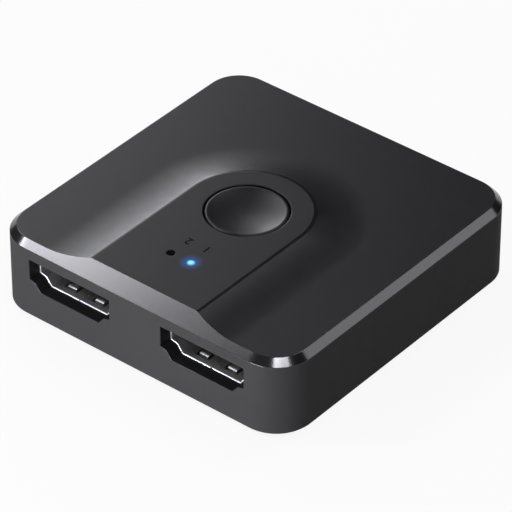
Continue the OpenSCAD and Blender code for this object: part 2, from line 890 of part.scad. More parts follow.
module button_cap() {
    dish_r = button_r - dish_rim;
    dish_ball = (dish_r * dish_r + dish_depth * dish_depth) / (2 * dish_depth);
    roof_z = cap_top - dish_depth - cap_skin;
    color("#303033")
    translate([0, button_y, 0])
        difference() {
            rotate_extrude()
                polygon([[0, plunger_z + rest_gap], [post_d / 2, plunger_z + rest_gap], [post_d / 2, roof_z],
                    [button_r - cap_wall, roof_z], [button_r - cap_wall, flange_z],
                    [button_r + flange_w, flange_z], [button_r + flange_w, flange_z + flange_t],
                    [button_r, flange_z + flange_t], [button_r, cap_top - rim_bevel],
                    [button_r - rim_bevel, cap_top], [0, cap_top]]);
            translate([0, 0, cap_top - dish_depth + dish_ball])
                sphere(r = dish_ball);
        }
}

module switch_base() {
    color("#1a1a1a")
    translate([0, button_y, board_top]) {
        difference() {
            translate([-switch_w / 2, -switch_w / 2, 0])
                cube([switch_w, switch_w, switch_h]);
            translate([0, 0, dome_z - board_top])
                cylinder(d = well_d, h = switch_h);
        }
        for (x = [-rivet_x, rivet_x], y = [-rivet_x, rivet_x])
            translate([x, y, switch_h - cover_t])
                cylinder(d = rivet_d, h = 2 * cover_t + rivet_h);
    }
}

module switch_cover() {
    color("#c2c5c9")
    translate([0, button_y, cover_z])
        difference() {
            union() {
                translate([-switch_w / 2, -switch_w / 2 - cover_t, 0])
                    cube([switch_w, switch_w + 2 * cover_t, cover_t]);
                for (turn = [0, 1])
                    mirror([0, turn, 0])
                        translate([-cover_tab_w / 2, switch_w / 2, -cover_tab_len])
                            cube([cover_tab_w, cover_t, cover_tab_len + cover_t]);
            }
            translate([0, 0, -over])
                cylinder(d = plunger_d + 2 * plunger_gap, h = cover_t + 2 * over);
            for (x = [-rivet_x, rivet_x], y = [-rivet_x, rivet_x])
                translate([x, y, -over])
                    cylinder(d = rivet_d + 2 * rivet_gap, h = cover_t + 2 * over);
        }
}

module switch_plunger() {
    color("#d8d4c8")
    translate([0, button_y, collar_low_z])
        rotate_extrude()
            polygon([[0, 0], [plunger_collar_d / 2, 0], [plunger_collar_d / 2, plunger_collar_t],
                [plunger_d / 2, plunger_collar_t], [plunger_d / 2, plunger_z - collar_low_z],
                [0, plunger_z - collar_low_z]]);
}

module snap_dome() {
    rise = dome_h - dome_t;
    ball = (dome_d * dome_d / 4 + rise * rise) / (2 * rise);
    color("#cfd2d6")
    translate([0, button_y, dome_z])
        intersection() {
            translate([0, 0, rise - ball])
                difference() {
                    sphere(r = ball + dome_t);
                    sphere(r = ball);
                }
            cylinder(d = dome_d, h = dome_h + over);
        }
}

module switch_legs() {
    bend = switch_leg_bend;
    high = switch_leg_z + switch_leg_t;
    color("#d9dbde")
    translate([0, button_y, board_top])
        for (turn = [0, 1], y = [-switch_leg_y, switch_leg_y])
            mirror([turn, 0, 0])
                translate([switch_w / 2, y + switch_leg_w / 2, 0])
                    rotate([90, 0, 0])
                        linear_extrude(height = switch_leg_w)
                            polygon([[0, switch_leg_z], [bend - switch_leg_t, switch_leg_z],
                                [bend - switch_leg_t, 0], [switch_leg_out, 0],
                                [switch_leg_out, switch_leg_t], [bend, switch_leg_t],
                                [bend, high], [0, high]]);
}

// Light pipe from just above its LED to the top of the ridge.
module light_pipe() {
    low = board_top + led_h + led_gap;
    shoulder = ridge_ceiling_z - rest_gap;
    translate([0, pipe_y, 0])
        rotate_extrude()
            polygon([[0, low], [pipe_shank_d / 2, low], [pipe_shank_d / 2, shoulder],
                [pipe_d / 2, shoulder], [pipe_d / 2, ridge_z], [0, ridge_z]]);
}

module light_pipe_1() {
    color("#9fd0ff")
    translate([pipe_pitch / 2, 0, 0])
        light_pipe();
}

module light_pipe_2() {
    color("#7d8288")
    translate([-pipe_pitch / 2, 0, 0])
        light_pipe();
}

// Indicator LED: a flat carrier with a smaller lens block on it.
module indicator_led() {
    translate([-led_w / 2, pipe_y - led_l / 2, board_top])
        cube([led_w, led_l, led_carrier_h]);
    translate([-led_w / 2, pipe_y - led_lens_l / 2, board_top])
        cube([led_w, led_lens_l, led_h]);
}

module indicator_led_1() {
    color("#e8eef5")
    translate([pipe_pitch / 2, 0, 0])
        indicator_led();
}

module indicator_led_2() {
    color("#e8eef5")
    translate([-pipe_pitch / 2, 0, 0])
        indicator_led();
}

module video_switch_chip() {
    color("#1b1b1d")
    translate([0, video_chip_y, board_top])
        difference() {
            translate([-video_chip_w / 2, -video_chip_w / 2, 0])
                cube([video_chip_w, video_chip_w, video_chip_h]);
            translate([mark_inset - video_chip_w / 2, video_chip_w / 2 - mark_inset,
                video_chip_h - mark_depth])
                cylinder(d = mark_d, h = over);
        }
}

module control_chip() {
    color("#1b1b1d")
    translate([-side_chip_x - control_w / 2, video_chip_y - control_l / 2, board_top + lead_t])
        cube([control_w, control_l, control_h - lead_t]);
}

// A chip lead: out of the body at height high, down, and a foot on the board.
module chip_lead(high) {
    translate([0, lead_w / 2, 0])
        rotate([90, 0, 0])
            linear_extrude(height = lead_w)
                polygon([[0, high], [lead_bend - lead_t, high], [lead_bend - lead_t, 0],
                    [lead_out, 0], [lead_out, lead_t], [lead_bend, lead_t],
                    [lead_bend, high + lead_t], [0, high + lead_t]]);
}

module control_chip_leads() {
    color("#d9dbde")
    translate([-side_chip_x, video_chip_y, board_top])
        for (turn = [0, 1], i = [-1.5:1:1.5])
            mirror([turn, 0, 0])
                translate([control_w / 2, i * control_pitch, 0])
                    chip_lead(control_h / 2);
}

module regulator() {
    color("#1b1b1d")
    translate([side_chip_x - regulator_w / 2, video_chip_y - regulator_l / 2, board_top + lead_t])
        cube([regulator_w, regulator_l, regulator_h - lead_t]);
}

module regulator_leads() {
    color("#d9dbde")
    translate([side_chip_x, video_chip_y, board_top]) {
        for (y = [-regulator_lead_y, regulator_lead_y])
            translate([regulator_w / 2, y, 0])
                chip_lead(regulator_h / 2);
        mirror([1, 0, 0])
            translate([regulator_w / 2, 0, 0])
                chip_lead(regulator_h / 2);
    }
}

// Small ceramic part lying across the board at x, y.
module ceramic(x, y, h) {
    translate([x - ceramic_l / 2, y - ceramic_w / 2, board_top])
        cube([ceramic_l, ceramic_w, h]);
}

module chip_capacitors() {
    color("#a98a62")
    for (side = [-1, 1], i = [-1:1]) {
        ceramic(side * inner_capacitor_x, video_chip_y + capacitor_step * i, capacitor_h);
        ceramic(side * outer_capacitor_x, outer_capacitor_y + capacitor_step * i, capacitor_h);
    }
}

module chip_resistors() {
    color("#26282b")
    for (side = [-1, 1], i = [0:3])
        ceramic(side * (resistor_x + resistor_step * i), resistor_y, resistor_h);
}

module surge_arrays() {
    places = [
        [port_pitch / 2 - front_array_x, front_array_y],
        [port_pitch / 2 + front_array_x, front_array_y],
        [rear_array_x, rear_array_y]
    ];
    color("#202124")
    for (side = [-1, 1], p = places)
        translate([side * p[0] - array_l / 2, p[1] - array_w / 2, board_top])
            cube([array_l, array_w, array_h]);
}

upper_case();
base_plate();
case_screws();
rubber_feet();
circuit_board();
front_left_shell();
front_left_insulator();
front_left_contacts();
front_right_shell();
front_right_insulator();
front_right_contacts();
rear_shell();
rear_insulator();
rear_contacts();
button_cap();
switch_base();
switch_cover();
switch_plunger();
snap_dome();
switch_legs();
light_pipe_1();
light_pipe_2();
indicator_led_1();
indicator_led_2();
video_switch_chip();
control_chip();
control_chip_leads();
regulator();
regulator_leads();
chip_capacitors();
chip_resistors();
surge_arrays();
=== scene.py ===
"""Two-way video switch box: satin black case, dished push button, two sockets in front and one behind.

Run as a script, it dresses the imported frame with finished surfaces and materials, a stage and a camera.
"""

import math

import bmesh
import bpy
import numpy as np
from bpy.props import FloatProperty, FloatVectorProperty, PointerProperty
from mathutils import Matrix, Vector


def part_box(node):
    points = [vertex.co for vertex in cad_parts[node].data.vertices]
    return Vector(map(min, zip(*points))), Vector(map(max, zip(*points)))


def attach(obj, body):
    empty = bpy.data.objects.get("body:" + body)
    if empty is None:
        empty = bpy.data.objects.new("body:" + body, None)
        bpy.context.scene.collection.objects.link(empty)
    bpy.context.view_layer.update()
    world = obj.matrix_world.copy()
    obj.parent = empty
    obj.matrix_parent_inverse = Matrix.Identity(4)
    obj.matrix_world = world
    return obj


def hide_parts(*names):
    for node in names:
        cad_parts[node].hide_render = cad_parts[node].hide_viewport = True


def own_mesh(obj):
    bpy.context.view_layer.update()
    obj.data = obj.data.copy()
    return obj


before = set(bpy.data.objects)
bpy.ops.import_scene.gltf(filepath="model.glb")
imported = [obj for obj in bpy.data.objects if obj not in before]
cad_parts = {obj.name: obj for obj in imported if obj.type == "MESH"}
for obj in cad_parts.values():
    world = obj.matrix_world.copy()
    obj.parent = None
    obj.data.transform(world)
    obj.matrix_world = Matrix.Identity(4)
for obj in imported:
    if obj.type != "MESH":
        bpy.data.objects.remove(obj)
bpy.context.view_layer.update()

bl_info = {
    "name": "Video switch box",
    "version": (1, 0, 0),
    "blender": (4, 5, 0),
    "location": "View3D > Sidebar > Switch box",
    "description": "Builds the case, button, legends, finishes and stage of a two-way video switch box",
    "category": "Object",
}

MM = 0.001
CASE_LOW, CASE_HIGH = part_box("upper_case")
CAP_LOW, CAP_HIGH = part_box("button_cap")
PIPE_LOW, PIPE_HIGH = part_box("light_pipe_1")
FRONT_SHELL_LOW, FRONT_SHELL_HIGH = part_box("front_right_shell")
PLATE_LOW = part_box("base_plate")[0]
BUTTON_Y = (CAP_LOW.y + CAP_HIGH.y) / 2
PIPE_X = (PIPE_LOW.x + PIPE_HIGH.x) / 2
PIPE_Y = (PIPE_LOW.y + PIPE_HIGH.y) / 2
PORT_X = (FRONT_SHELL_LOW.x + FRONT_SHELL_HIGH.x) / 2
LIGHT = (PIPE_X, PIPE_Y, PIPE_HIGH.z)

# Places of the case's finishes in its list of materials
LID, EDGE, WALL, RIDGE = range(4)

# Points closer than this are welded, and faces that meet at a smaller angle than this are smooth
WELD = 0.002 * MM
SHARP = math.radians(35)

# Steps of the grids: round the button, across its hollow and round the edge of a shell
ROUND_STEPS = 144
HOLLOW_STEPS = 24
LIP_STEPS = 8

# Width of a grain of the moulds
GRAIN = 0.09 * MM

# Places of a Mix node's colour sockets, which come after those for numbers and vectors
MIX_FIRST, MIX_SECOND, MIX_RESULT = 6, 7, 2

# Mouldings of the frame's own nodes: slot, name, colour, roughness, strength and width of the grain
MOULDINGS = (
    ("base_plastic", "base_texture", (0.03, 0.03, 0.031), 0.55, 0.12, 0.16 * MM),
    ("socket_plastic", "socket_moulding", (0.012, 0.012, 0.012), 0.5, 0.05, GRAIN),
    ("switch_plastic", "switch_moulding", (0.015, 0.015, 0.015), 0.5, 0.05, GRAIN),
    ("plunger_plastic", "plunger_moulding", (0.62, 0.58, 0.5), 0.45, 0.04, GRAIN),
    ("chip_mould", "chip_moulding", (0.02, 0.02, 0.021), 0.6, 0.1, 0.06 * MM),
    ("ceramic_black", "resistor_glaze", (0.02, 0.021, 0.024), 0.35, 0.03, GRAIN),
    ("ceramic_tan", "capacitor_ceramic", (0.35, 0.24, 0.13), 0.4, 0.05, GRAIN),
    ("led_body", "led_moulding", (0.75, 0.77, 0.8), 0.35, 0.03, GRAIN),
    ("foot_rubber", "foot_rubber", (0.014, 0.014, 0.014), 0.78, 0.2, 0.2 * MM),
)

# Plated pieces of the frame's own nodes: slot, name, colour and roughness
PLATINGS = (
    ("switch_steel", "switch_plating", (0.7, 0.7, 0.71), 0.3),
    ("screw_steel", "screw_plating", (0.55, 0.55, 0.57), 0.28),
    ("tinned_lead", "tin_plating", (0.72, 0.72, 0.73), 0.35),
    ("contact_gold", "contact_gilding", (0.86, 0.62, 0.24), 0.22),
)

# Soft lamps: name, azimuth and elevation in degrees, width, height and distance in metres, power in watts
LAMPS = (
    ("key", -48.6, 37, 0.12, 0.14, 0.5, 0.74),
    ("key_edge", -52, 37, 0.035, 0.14, 0.5, 0.35),
    ("rear_left_low", -125, 9, 0.18, 0.15, 0.5, 0.54),
    ("rear_left", -128, 27, 0.18, 0.15, 0.5, 0.25),
    ("left", -105, 46, 0.18, 0.18, 0.5, 0.6),
    ("rear_top", 170, 60, 0.15, 0.12, 0.5, 0.48),
    ("rear_right", 136, 30, 0.2, 0.18, 0.5, 0.26),
    ("front_right", 54, 51, 0.26, 0.045, 0.5, 0.97),
    ("front_strip", -1, 0, 0.1, 0.01, 0.18, 0.49),
)


def length(name, description, default):
    """A length in metres, with its default from the frame or in millimetres times MM."""
    return FloatProperty(
        name=name, description=description, default=default, unit="LENGTH", subtype="DISTANCE", precision=5
    )


def colour(name, description, default):
    """A linear colour."""
    return FloatVectorProperty(
        name=name, description=description, default=default, size=3, subtype="COLOR", min=0, max=1
    )


def share(name, description, default, top=1.0):
    """A plain factor from 0 to top."""
    return FloatProperty(
        name=name, description=description, default=default, subtype="FACTOR", min=0, max=top
    )


def point(name, description, default, precision=5):
    """A place in metres, in plan or in space."""
    return FloatVectorProperty(
        name=name, description=description, default=default, size=len(default),
        subtype="XYZ", unit="LENGTH", precision=precision
    )


class CaseSizes(bpy.types.PropertyGroup):
    """Sizes of the upper case."""

    width: length("Width", "Case from left to right", CASE_HIGH.x - CASE_LOW.x)
    depth: length("Depth", "Case from front to back", CASE_HIGH.y - CASE_LOW.y)
    rim_z: length("Rim height", "Bottom rim above the table", CASE_LOW.z)
    ridge_z: length("Ridge height", "Flat of the ridge above the table", CASE_HIGH.z)
    ridge_rise: length("Ridge rise", "Flat of the ridge above the lid", 1.1 * MM)
    ridge_half: length("Ridge half width", "Middle of the ridge to the edge of its flat", 9.55 * MM)
    flank: length("Flank", "Run of the hollow flank from the flat down to the lid", 7.4 * MM)
    ridge_soft: length("Ridge edge", "Half width of the rounding on the edge of the flat", 0.26 * MM)
    corner: length("Corner radius", "Radius of the upright corners", 5.9 * MM)
    wall: length("Wall", "Thickness of the side walls", 2 * MM)
    lid: length("Lid", "Thickness of the lid", 1.8 * MM)
    skirt: length("Skirt", "Thickness of the skirt round the base plate", 1 * MM)
    plate: length("Plate edge", "Thickness of the base plate inside that skirt", 1.5 * MM)
    chamfer: length("Chamfer", "Polished chamfer round the top, along either face", 1 * MM)
    rim_break: length("Rim break", "Small chamfer of the bottom edge", 0.3 * MM)
    edge_soft: length("Edge radius", "Rounding of both edges of the chamfer", 0.12 * MM)
    mouth_soft: length("Mouth radius", "Rounding of the socket openings", 0.12 * MM)
    hole_soft: length("Hole radius", "Rounding of the button's and lights' holes", 0.14 * MM)


class ButtonSizes(bpy.types.PropertyGroup):
    """Sizes of the push button, its hole and the lights."""

    centre_y: length("Place", "Middle of the button, front to back", BUTTON_Y)
    flange: length("Flange", "Width of the flange under the lid", 1.3 * MM)
    flange_t: length("Flange thickness", "Thickness of that flange", 0.9 * MM)
    gap: length("Gap", "Gap between cap and hole", 0.2 * MM)
    rim: length("Rim", "Width of the rim round the hollow", 0.4 * MM)
    rim_soft: length("Rim radius", "Rounding of the rim's outer edge", 0.26 * MM)
    dish_soft: length("Hollow radius", "Rounding between hollow and rim", 0.15 * MM)
    edge_soft: length("Edge radius", "Rounding of the cap's other edges", 0.1 * MM)
    dish: length("Hollow", "Depth of the hollow", 0.75 * MM)
    skin: length("Skin", "Thickness under the hollow", 1.1 * MM)
    skirt: length("Skirt", "Thickness of the cap's skirt", 1.2 * MM)
    post: length("Post", "Radius of the post over the switch", 1.6 * MM)
    flange_z: length("Flange height", "Underside of the flange above the table", 10.67 * MM)
    collar: length("Collar", "Thickness of the guide collar under the lid", 1 * MM)
    collar_drop: length("Collar length", "Length of that collar", 0.8 * MM)
    pipe_hole: length("Light hole", "Radius of a light's hole", 0.605 * MM)
    sleeve_hole: length("Sleeve bore", "Radius inside a light's sleeve", 1.03 * MM)
    sleeve: length("Sleeve", "Outer radius of that sleeve", 1.63 * MM)
    sleeve_drop: length("Sleeve length", "Length of that sleeve", 1.6 * MM)
    dome_flat: length("Pressed dome", "Height of the switch's snap dome when it is pressed flat", 0.3 * MM)


class LegendSizes(bpy.types.PropertyGroup):
    """Sizes and places of the two printed numbers."""

    height: length("Height", "Size of the type", 2 * MM)
    bold: length("Boldness", "Growth of the strokes", 0.02 * MM)
    ink: length("Ink", "Half the thickness of the print", 0.004 * MM)
    lift: length("Lift", "Middle of the print above the ridge", 0.005 * MM)
    one: point("One", "Middle of the first number", (1.55 * MM, -12.7 * MM))
    two: point("Two", "Middle of the second number", (-1.57 * MM, -12.8 * MM))


class MouthSizes(bpy.types.PropertyGroup):
    """Outline of the socket openings: half widths and heights of its corners."""

    front_x: length("Front place", "Middle of the case to the middle of a front socket", PORT_X)
    floor_half: length("Floor", "Half width of the floor", 5.27 * MM)
    floor_z: length("Floor height", "Floor above the table", 5.63 * MM)
    step_half: length("Step", "Half width at the inner end of the step", 6.22 * MM)
    step_z: length("Step height", "Inner end of the step above the table", 6.83 * MM)
    side_half: length("Side", "Half width at the upright sides", 7.27 * MM)
    side_z: length("Side height", "Lower end of the upright sides above the table", 7.13 * MM)
    roof_z: length("Roof height", "Roof above the table", 10.4 * MM)
    side_gap: length("Side gap", "Opening to the inside of the socket's shell, at the sides", 0.27 * MM)
    floor_gap: length("Floor gap", "The same at the floor", 0.17 * MM)
    roof_gap: length("Roof gap", "The same at the roof", 0.05 * MM)
    sheet: length("Sheet", "Thickness of the shell", 0.3 * MM)
    seam: length("Seam", "Width of the seam in the middle of the shell's floor", 0.24 * MM)


class Finishes(bpy.types.PropertyGroup):
    """Colours and gloss of the parts that show."""

    case: colour("Case", "Satin black of the case", (0.007, 0.007, 0.0073))
    case_rough: share("Case roughness", "Roughness of the satin case", 0.38)
    case_shine: share("Case shine", "Strength of the case's reflections", 0.28)
    case_grain: share("Case grain", "Strength of the fine moulded grain", 0.05)
    wall: colour("Walls", "Matte black of the side walls", (0.0285, 0.0285, 0.0286))
    wall_rough: share("Wall roughness", "Roughness of the side walls", 0.7)
    wall_shine: share("Wall shine", "Strength of the side walls' reflections", 0.05)
    edge: colour("Edge", "Black of the polished chamfer", (0.007, 0.007, 0.0073))
    edge_rough: share("Edge roughness", "Roughness of the polished chamfer", 0.17)
    edge_shine: share("Edge shine", "Strength of the chamfer's reflections", 0.75)
    ridge_rough: share("Ridge roughness", "Roughness of the ridge's smooth edge", 0.23)
    button: colour("Button", "Satin black of the button", (0.007, 0.007, 0.0073))
    button_rough: share("Button roughness", "Roughness of the button", 0.36)
    legend: colour("Legend", "Ink of the two numbers", (0.006, 0.006, 0.006))
    steel: colour("Socket steel", "Plated steel of the socket shells", (0.72, 0.72, 0.73))
    shell_tone: share("Shell tone", "Brightness of that steel on the shells", 0.8)
    shell_rough: share("Shell roughness", "Roughness of the shells", 0.46)
    # The shells' edges get the same steel in a brighter tone than the shells have: a painted highlight along
    # the rounded edges
    lip_highlight_tone: share("Lip tone", "Brightness of that steel on the shells' edges", 0.95)
    lip_rough: share("Lip roughness", "Roughness of the shells' edges", 0.42)
    core: colour("Core", "Middle of the lit indicator", (0.32, 0.85, 1.0))
    light: colour("Light", "Edge of the lit indicator", (0.06, 0.42, 0.9))
    # The next four settings paint a blue glow round the lit indicator, given off as emission by the case
    # plastic itself: painted light
    painted_glow: colour("Halo", "Glow of the plastic round the lit indicator", (0.0, 0.22, 0.85))
    painted_glow_level: share("Halo strength", "Strength of that glow at the light's edge", 0.32)
    painted_glow_start: length("Halo start", "Distance from the light's middle where that glow falls", 0.55 * MM)
    painted_glow_end: length("Halo end", "Distance where it has gone", 2.1 * MM)


class StageSettings(bpy.types.PropertyGroup):
    """Camera, floor and lamps."""

    camera: point("Camera", "Place of the camera", (0.286327, -0.349455, 0.340984), precision=6)
    azimuth: FloatProperty(
        name="Azimuth", description="Turn of the camera from the front towards the right",
        default=math.radians(39.347), subtype="ANGLE"
    )
    elevation: FloatProperty(
        name="Elevation", description="Camera above the horizon",
        default=math.radians(36.635), subtype="ANGLE"
    )
    lens: FloatProperty(name="Lens", description="Focal length", default=281.53, unit="CAMERA")
    sensor: FloatProperty(name="Sensor", description="Width of the sensor", default=36, unit="CAMERA")
    aim: point("Aim", "Point that the lamps look at", (0, 0, 0.008))
    lamp: colour("Lamps", "Slightly cool light of the lamps", (0.94, 0.94, 1.0))
    floor: colour("Floor", "Pale floor", (0.7, 0.7, 0.7))
    floor_white: share("Floor white", "Share of plain white in the floor as camera and mirrors see it", 0.9)
    floor_half: length("Floor size", "Half side of the floor", 6.0)
    floor_drop: length("Floor drop", "Floor below the feet", 0.01 * MM)
    world: colour("Surroundings", "Even light from all sides", (0.03, 0.0303, 0.0306))


class SwitchBox(bpy.types.PropertyGroup):
    """All settings of the switch box."""

    case: PointerProperty(type=CaseSizes)
    button: PointerProperty(type=ButtonSizes)
    legend: PointerProperty(type=LegendSizes)
    mouth: PointerProperty(type=MouthSizes)
    finish: PointerProperty(type=Finishes)
    stage: PointerProperty(type=StageSettings)


def settings():
    """The scene's own settings."""
    return bpy.context.scene.switch_box


# Grids of points


def grid_faces(rows, columns, start):
    """Four-cornered faces of a grid of points that are numbered row by row from start."""
    corner = (start + np.arange(rows - 1)[:, None] * columns + np.arange(columns - 1)).ravel()
    return np.stack([corner, corner + 1, corner + columns + 1, corner + columns], axis=1)


def even_normals(mesh, sharp):
    """Normal of each face corner: mean, by area, of the faces round its point within the sharp angle."""
    points = np.empty(len(mesh.loops), dtype=np.int32)
    sides = np.empty(len(mesh.polygons), dtype=np.int32)
    areas = np.empty(len(mesh.polygons), dtype=np.float32)
    normals = np.empty(3 * len(mesh.polygons), dtype=np.float32)
    mesh.loops.foreach_get("vertex_index", points)
    mesh.polygons.foreach_get("loop_total", sides)
    mesh.polygons.foreach_get("area", areas)
    mesh.polygons.foreach_get("normal", normals)
    normals = normals.reshape(-1, 3)
    own = np.repeat(np.arange(len(sides)), sides)
    order = np.argsort(points, kind="stable")
    ranked = points[order]
    rank = np.arange(len(points)) - np.searchsorted(ranked, ranked)
    slots = np.full((len(mesh.vertices), rank.max() + 1), -1)
    slots[ranked, rank] = own[order]
    around = slots[points]
    alike = np.einsum("ik,ijk->ij", normals[own], normals[around]) > math.cos(sharp)
    weights = np.where((around >= 0) & alike, areas[around], 0)
    total = np.einsum("ij,ijk->ik", weights, normals[around])
    return total / np.linalg.norm(total, axis=1, keepdims=True)


class Sheets:
    """Grids of points gathered for one mesh, which is welded where the grids meet."""

    def __init__(self):
        self.points = []
        self.faces = []
        self.finishes = []
        self.count = 0

    def add(self, grid, finish=LID, keep=None):
        """Take one grid, rows by columns by 3, with a finish number and a mask of the cells that stay."""
        rows, columns = grid.shape[:2]
        faces = grid_faces(rows, columns, self.count)
        if keep is not None:
            faces = faces[keep.ravel()]
        self.points.append(grid.reshape(-1, 3))
        self.faces.append(faces)
        self.finishes.append(np.full(len(faces), finish))
        self.count += rows * columns

    def piece(self, name, materials):
        """Weld the grids into one closed piece with its faces outwards and smooth up to the sharp angle."""
        mesh = bpy.data.meshes.new(name)
        mesh.from_pydata(np.concatenate(self.points).tolist(), [], np.concatenate(self.faces).tolist())
        mesh.polygons.foreach_set("material_index", np.concatenate(self.finishes).astype(np.int32))
        welded = bmesh.new()
        welded.from_mesh(mesh)
        bmesh.ops.remove_doubles(welded, verts=welded.verts, dist=WELD)
        bmesh.ops.recalc_face_normals(welded, faces=welded.faces)
        welded.to_mesh(mesh)
        welded.free()
        mesh.polygons.foreach_set("use_smooth", np.ones(len(mesh.polygons), dtype=bool))
        mesh.normals_split_custom_set(even_normals(mesh, SHARP).tolist())
        for material in materials:
            mesh.materials.append(material)
        piece = bpy.data.objects.new(name, mesh)
        bpy.context.scene.collection.objects.link(piece)
        return piece


def flat(x, y, z):
    """Points from three arrays that broadcast together."""
    return np.stack(np.broadcast_arrays(x, y, z), axis=-1).astype(float)


def spread(*stops):
    """Numbers from stop to stop: value, steps to the next value, value, and so on."""
    runs = [np.linspace(stops[i], stops[i + 2], stops[i + 1] + 1)[1:] for i in range(0, len(stops) - 2, 2)]
    return np.concatenate([[stops[0]], *runs])


def between(start, end, steps):
    """Grid of straight lines from the points of one row to those of another."""
    part = np.linspace(0, 1, steps + 1)[:, None, None]
    return start[None] * (1 - part) + end[None] * part


def coons(bottom, top, left, right):
    """Patch inside four edges: left blended into right, plus bottom into top, less the corners' blend."""
    across = np.linspace(0, 1, len(bottom))[None, :, None]
    up = np.linspace(0, 1, len(left))[:, None, None]
    sides = left[:, None] * (1 - across) + right[:, None] * across
    ends = bottom[None] * (1 - up) + top[None] * up
    low = bottom[0] * (1 - across) + bottom[-1] * across
    high = top[0] * (1 - across) + top[-1] * across
    return sides + ends - low * (1 - up) - high * up


def grown_outline(points, grown):
    """Corners of a run of straight lines after each line has moved out by the same distance."""
    along = np.diff(points, axis=0)
    along /= np.linalg.norm(along, axis=1, keepdims=True)
    normal = np.stack([along[:, 1], -along[:, 0]], axis=1)
    before, after = normal[:-1], normal[1:]
    reach = 1 + np.sum(before * after, axis=1, keepdims=True)
    return points[1:-1] + (before + after) * grown / reach


def mouth_points(mouth, side_gap=0, floor_gap=0, roof_gap=0):
    """Right half of a socket's outline from the middle of floor to that of roof, drawn in by gaps."""
    return np.array([
        [0, mouth.floor_z + floor_gap],
        [mouth.floor_half - side_gap, mouth.floor_z + floor_gap],
        [mouth.step_half - side_gap, mouth.step_z + floor_gap],
        [mouth.side_half - side_gap, mouth.side_z + floor_gap],
        [mouth.side_half - side_gap, mouth.roof_z - roof_gap],
        [0, mouth.roof_z - roof_gap],
    ])


def filleted(corners, radii, steps=5):
    """Straight lines with an arc of the given radius at each inner corner; radius 0 keeps the corner."""
    corners = np.asarray(corners, dtype=float)
    parts = [corners[:1]]
    for before, corner, after, radius in zip(corners[:-2], corners[1:-1], corners[2:], radii):
        if radius == 0:
            parts.append(corner[None])
            continue
        came = (corner - before) / np.linalg.norm(corner - before)
        goes = (after - corner) / np.linalg.norm(after - corner)
        turn = math.acos(np.clip(came @ goes, -1, 1))
        bend = goes - came
        middle = corner + bend / np.linalg.norm(bend) * radius / math.cos(turn / 2)
        angle = np.linspace(0, turn, steps + 1)[:, None]
        side = corner - came * radius * math.tan(turn / 2) - middle
        parts.append(middle + side * np.cos(angle) + came * radius * np.sin(angle))
    parts.append(corners[-1:])
    return np.concatenate(parts)


def turned(profile, centre, directions):
    """Surface of a radius-and-height profile carried round a centre along unit directions."""
    radius = profile[:, 0][:, None]
    return flat(
        centre[0] + radius * directions[:, 0], centre[1] + radius * directions[:, 1], profile[:, 1][:, None]
    )


def circle(steps):
    """Unit directions once round, the last on the first."""
    angle = np.linspace(0, 2 * math.pi, steps + 1)
    return np.stack([np.cos(angle), np.sin(angle)], axis=1)


# Upper case


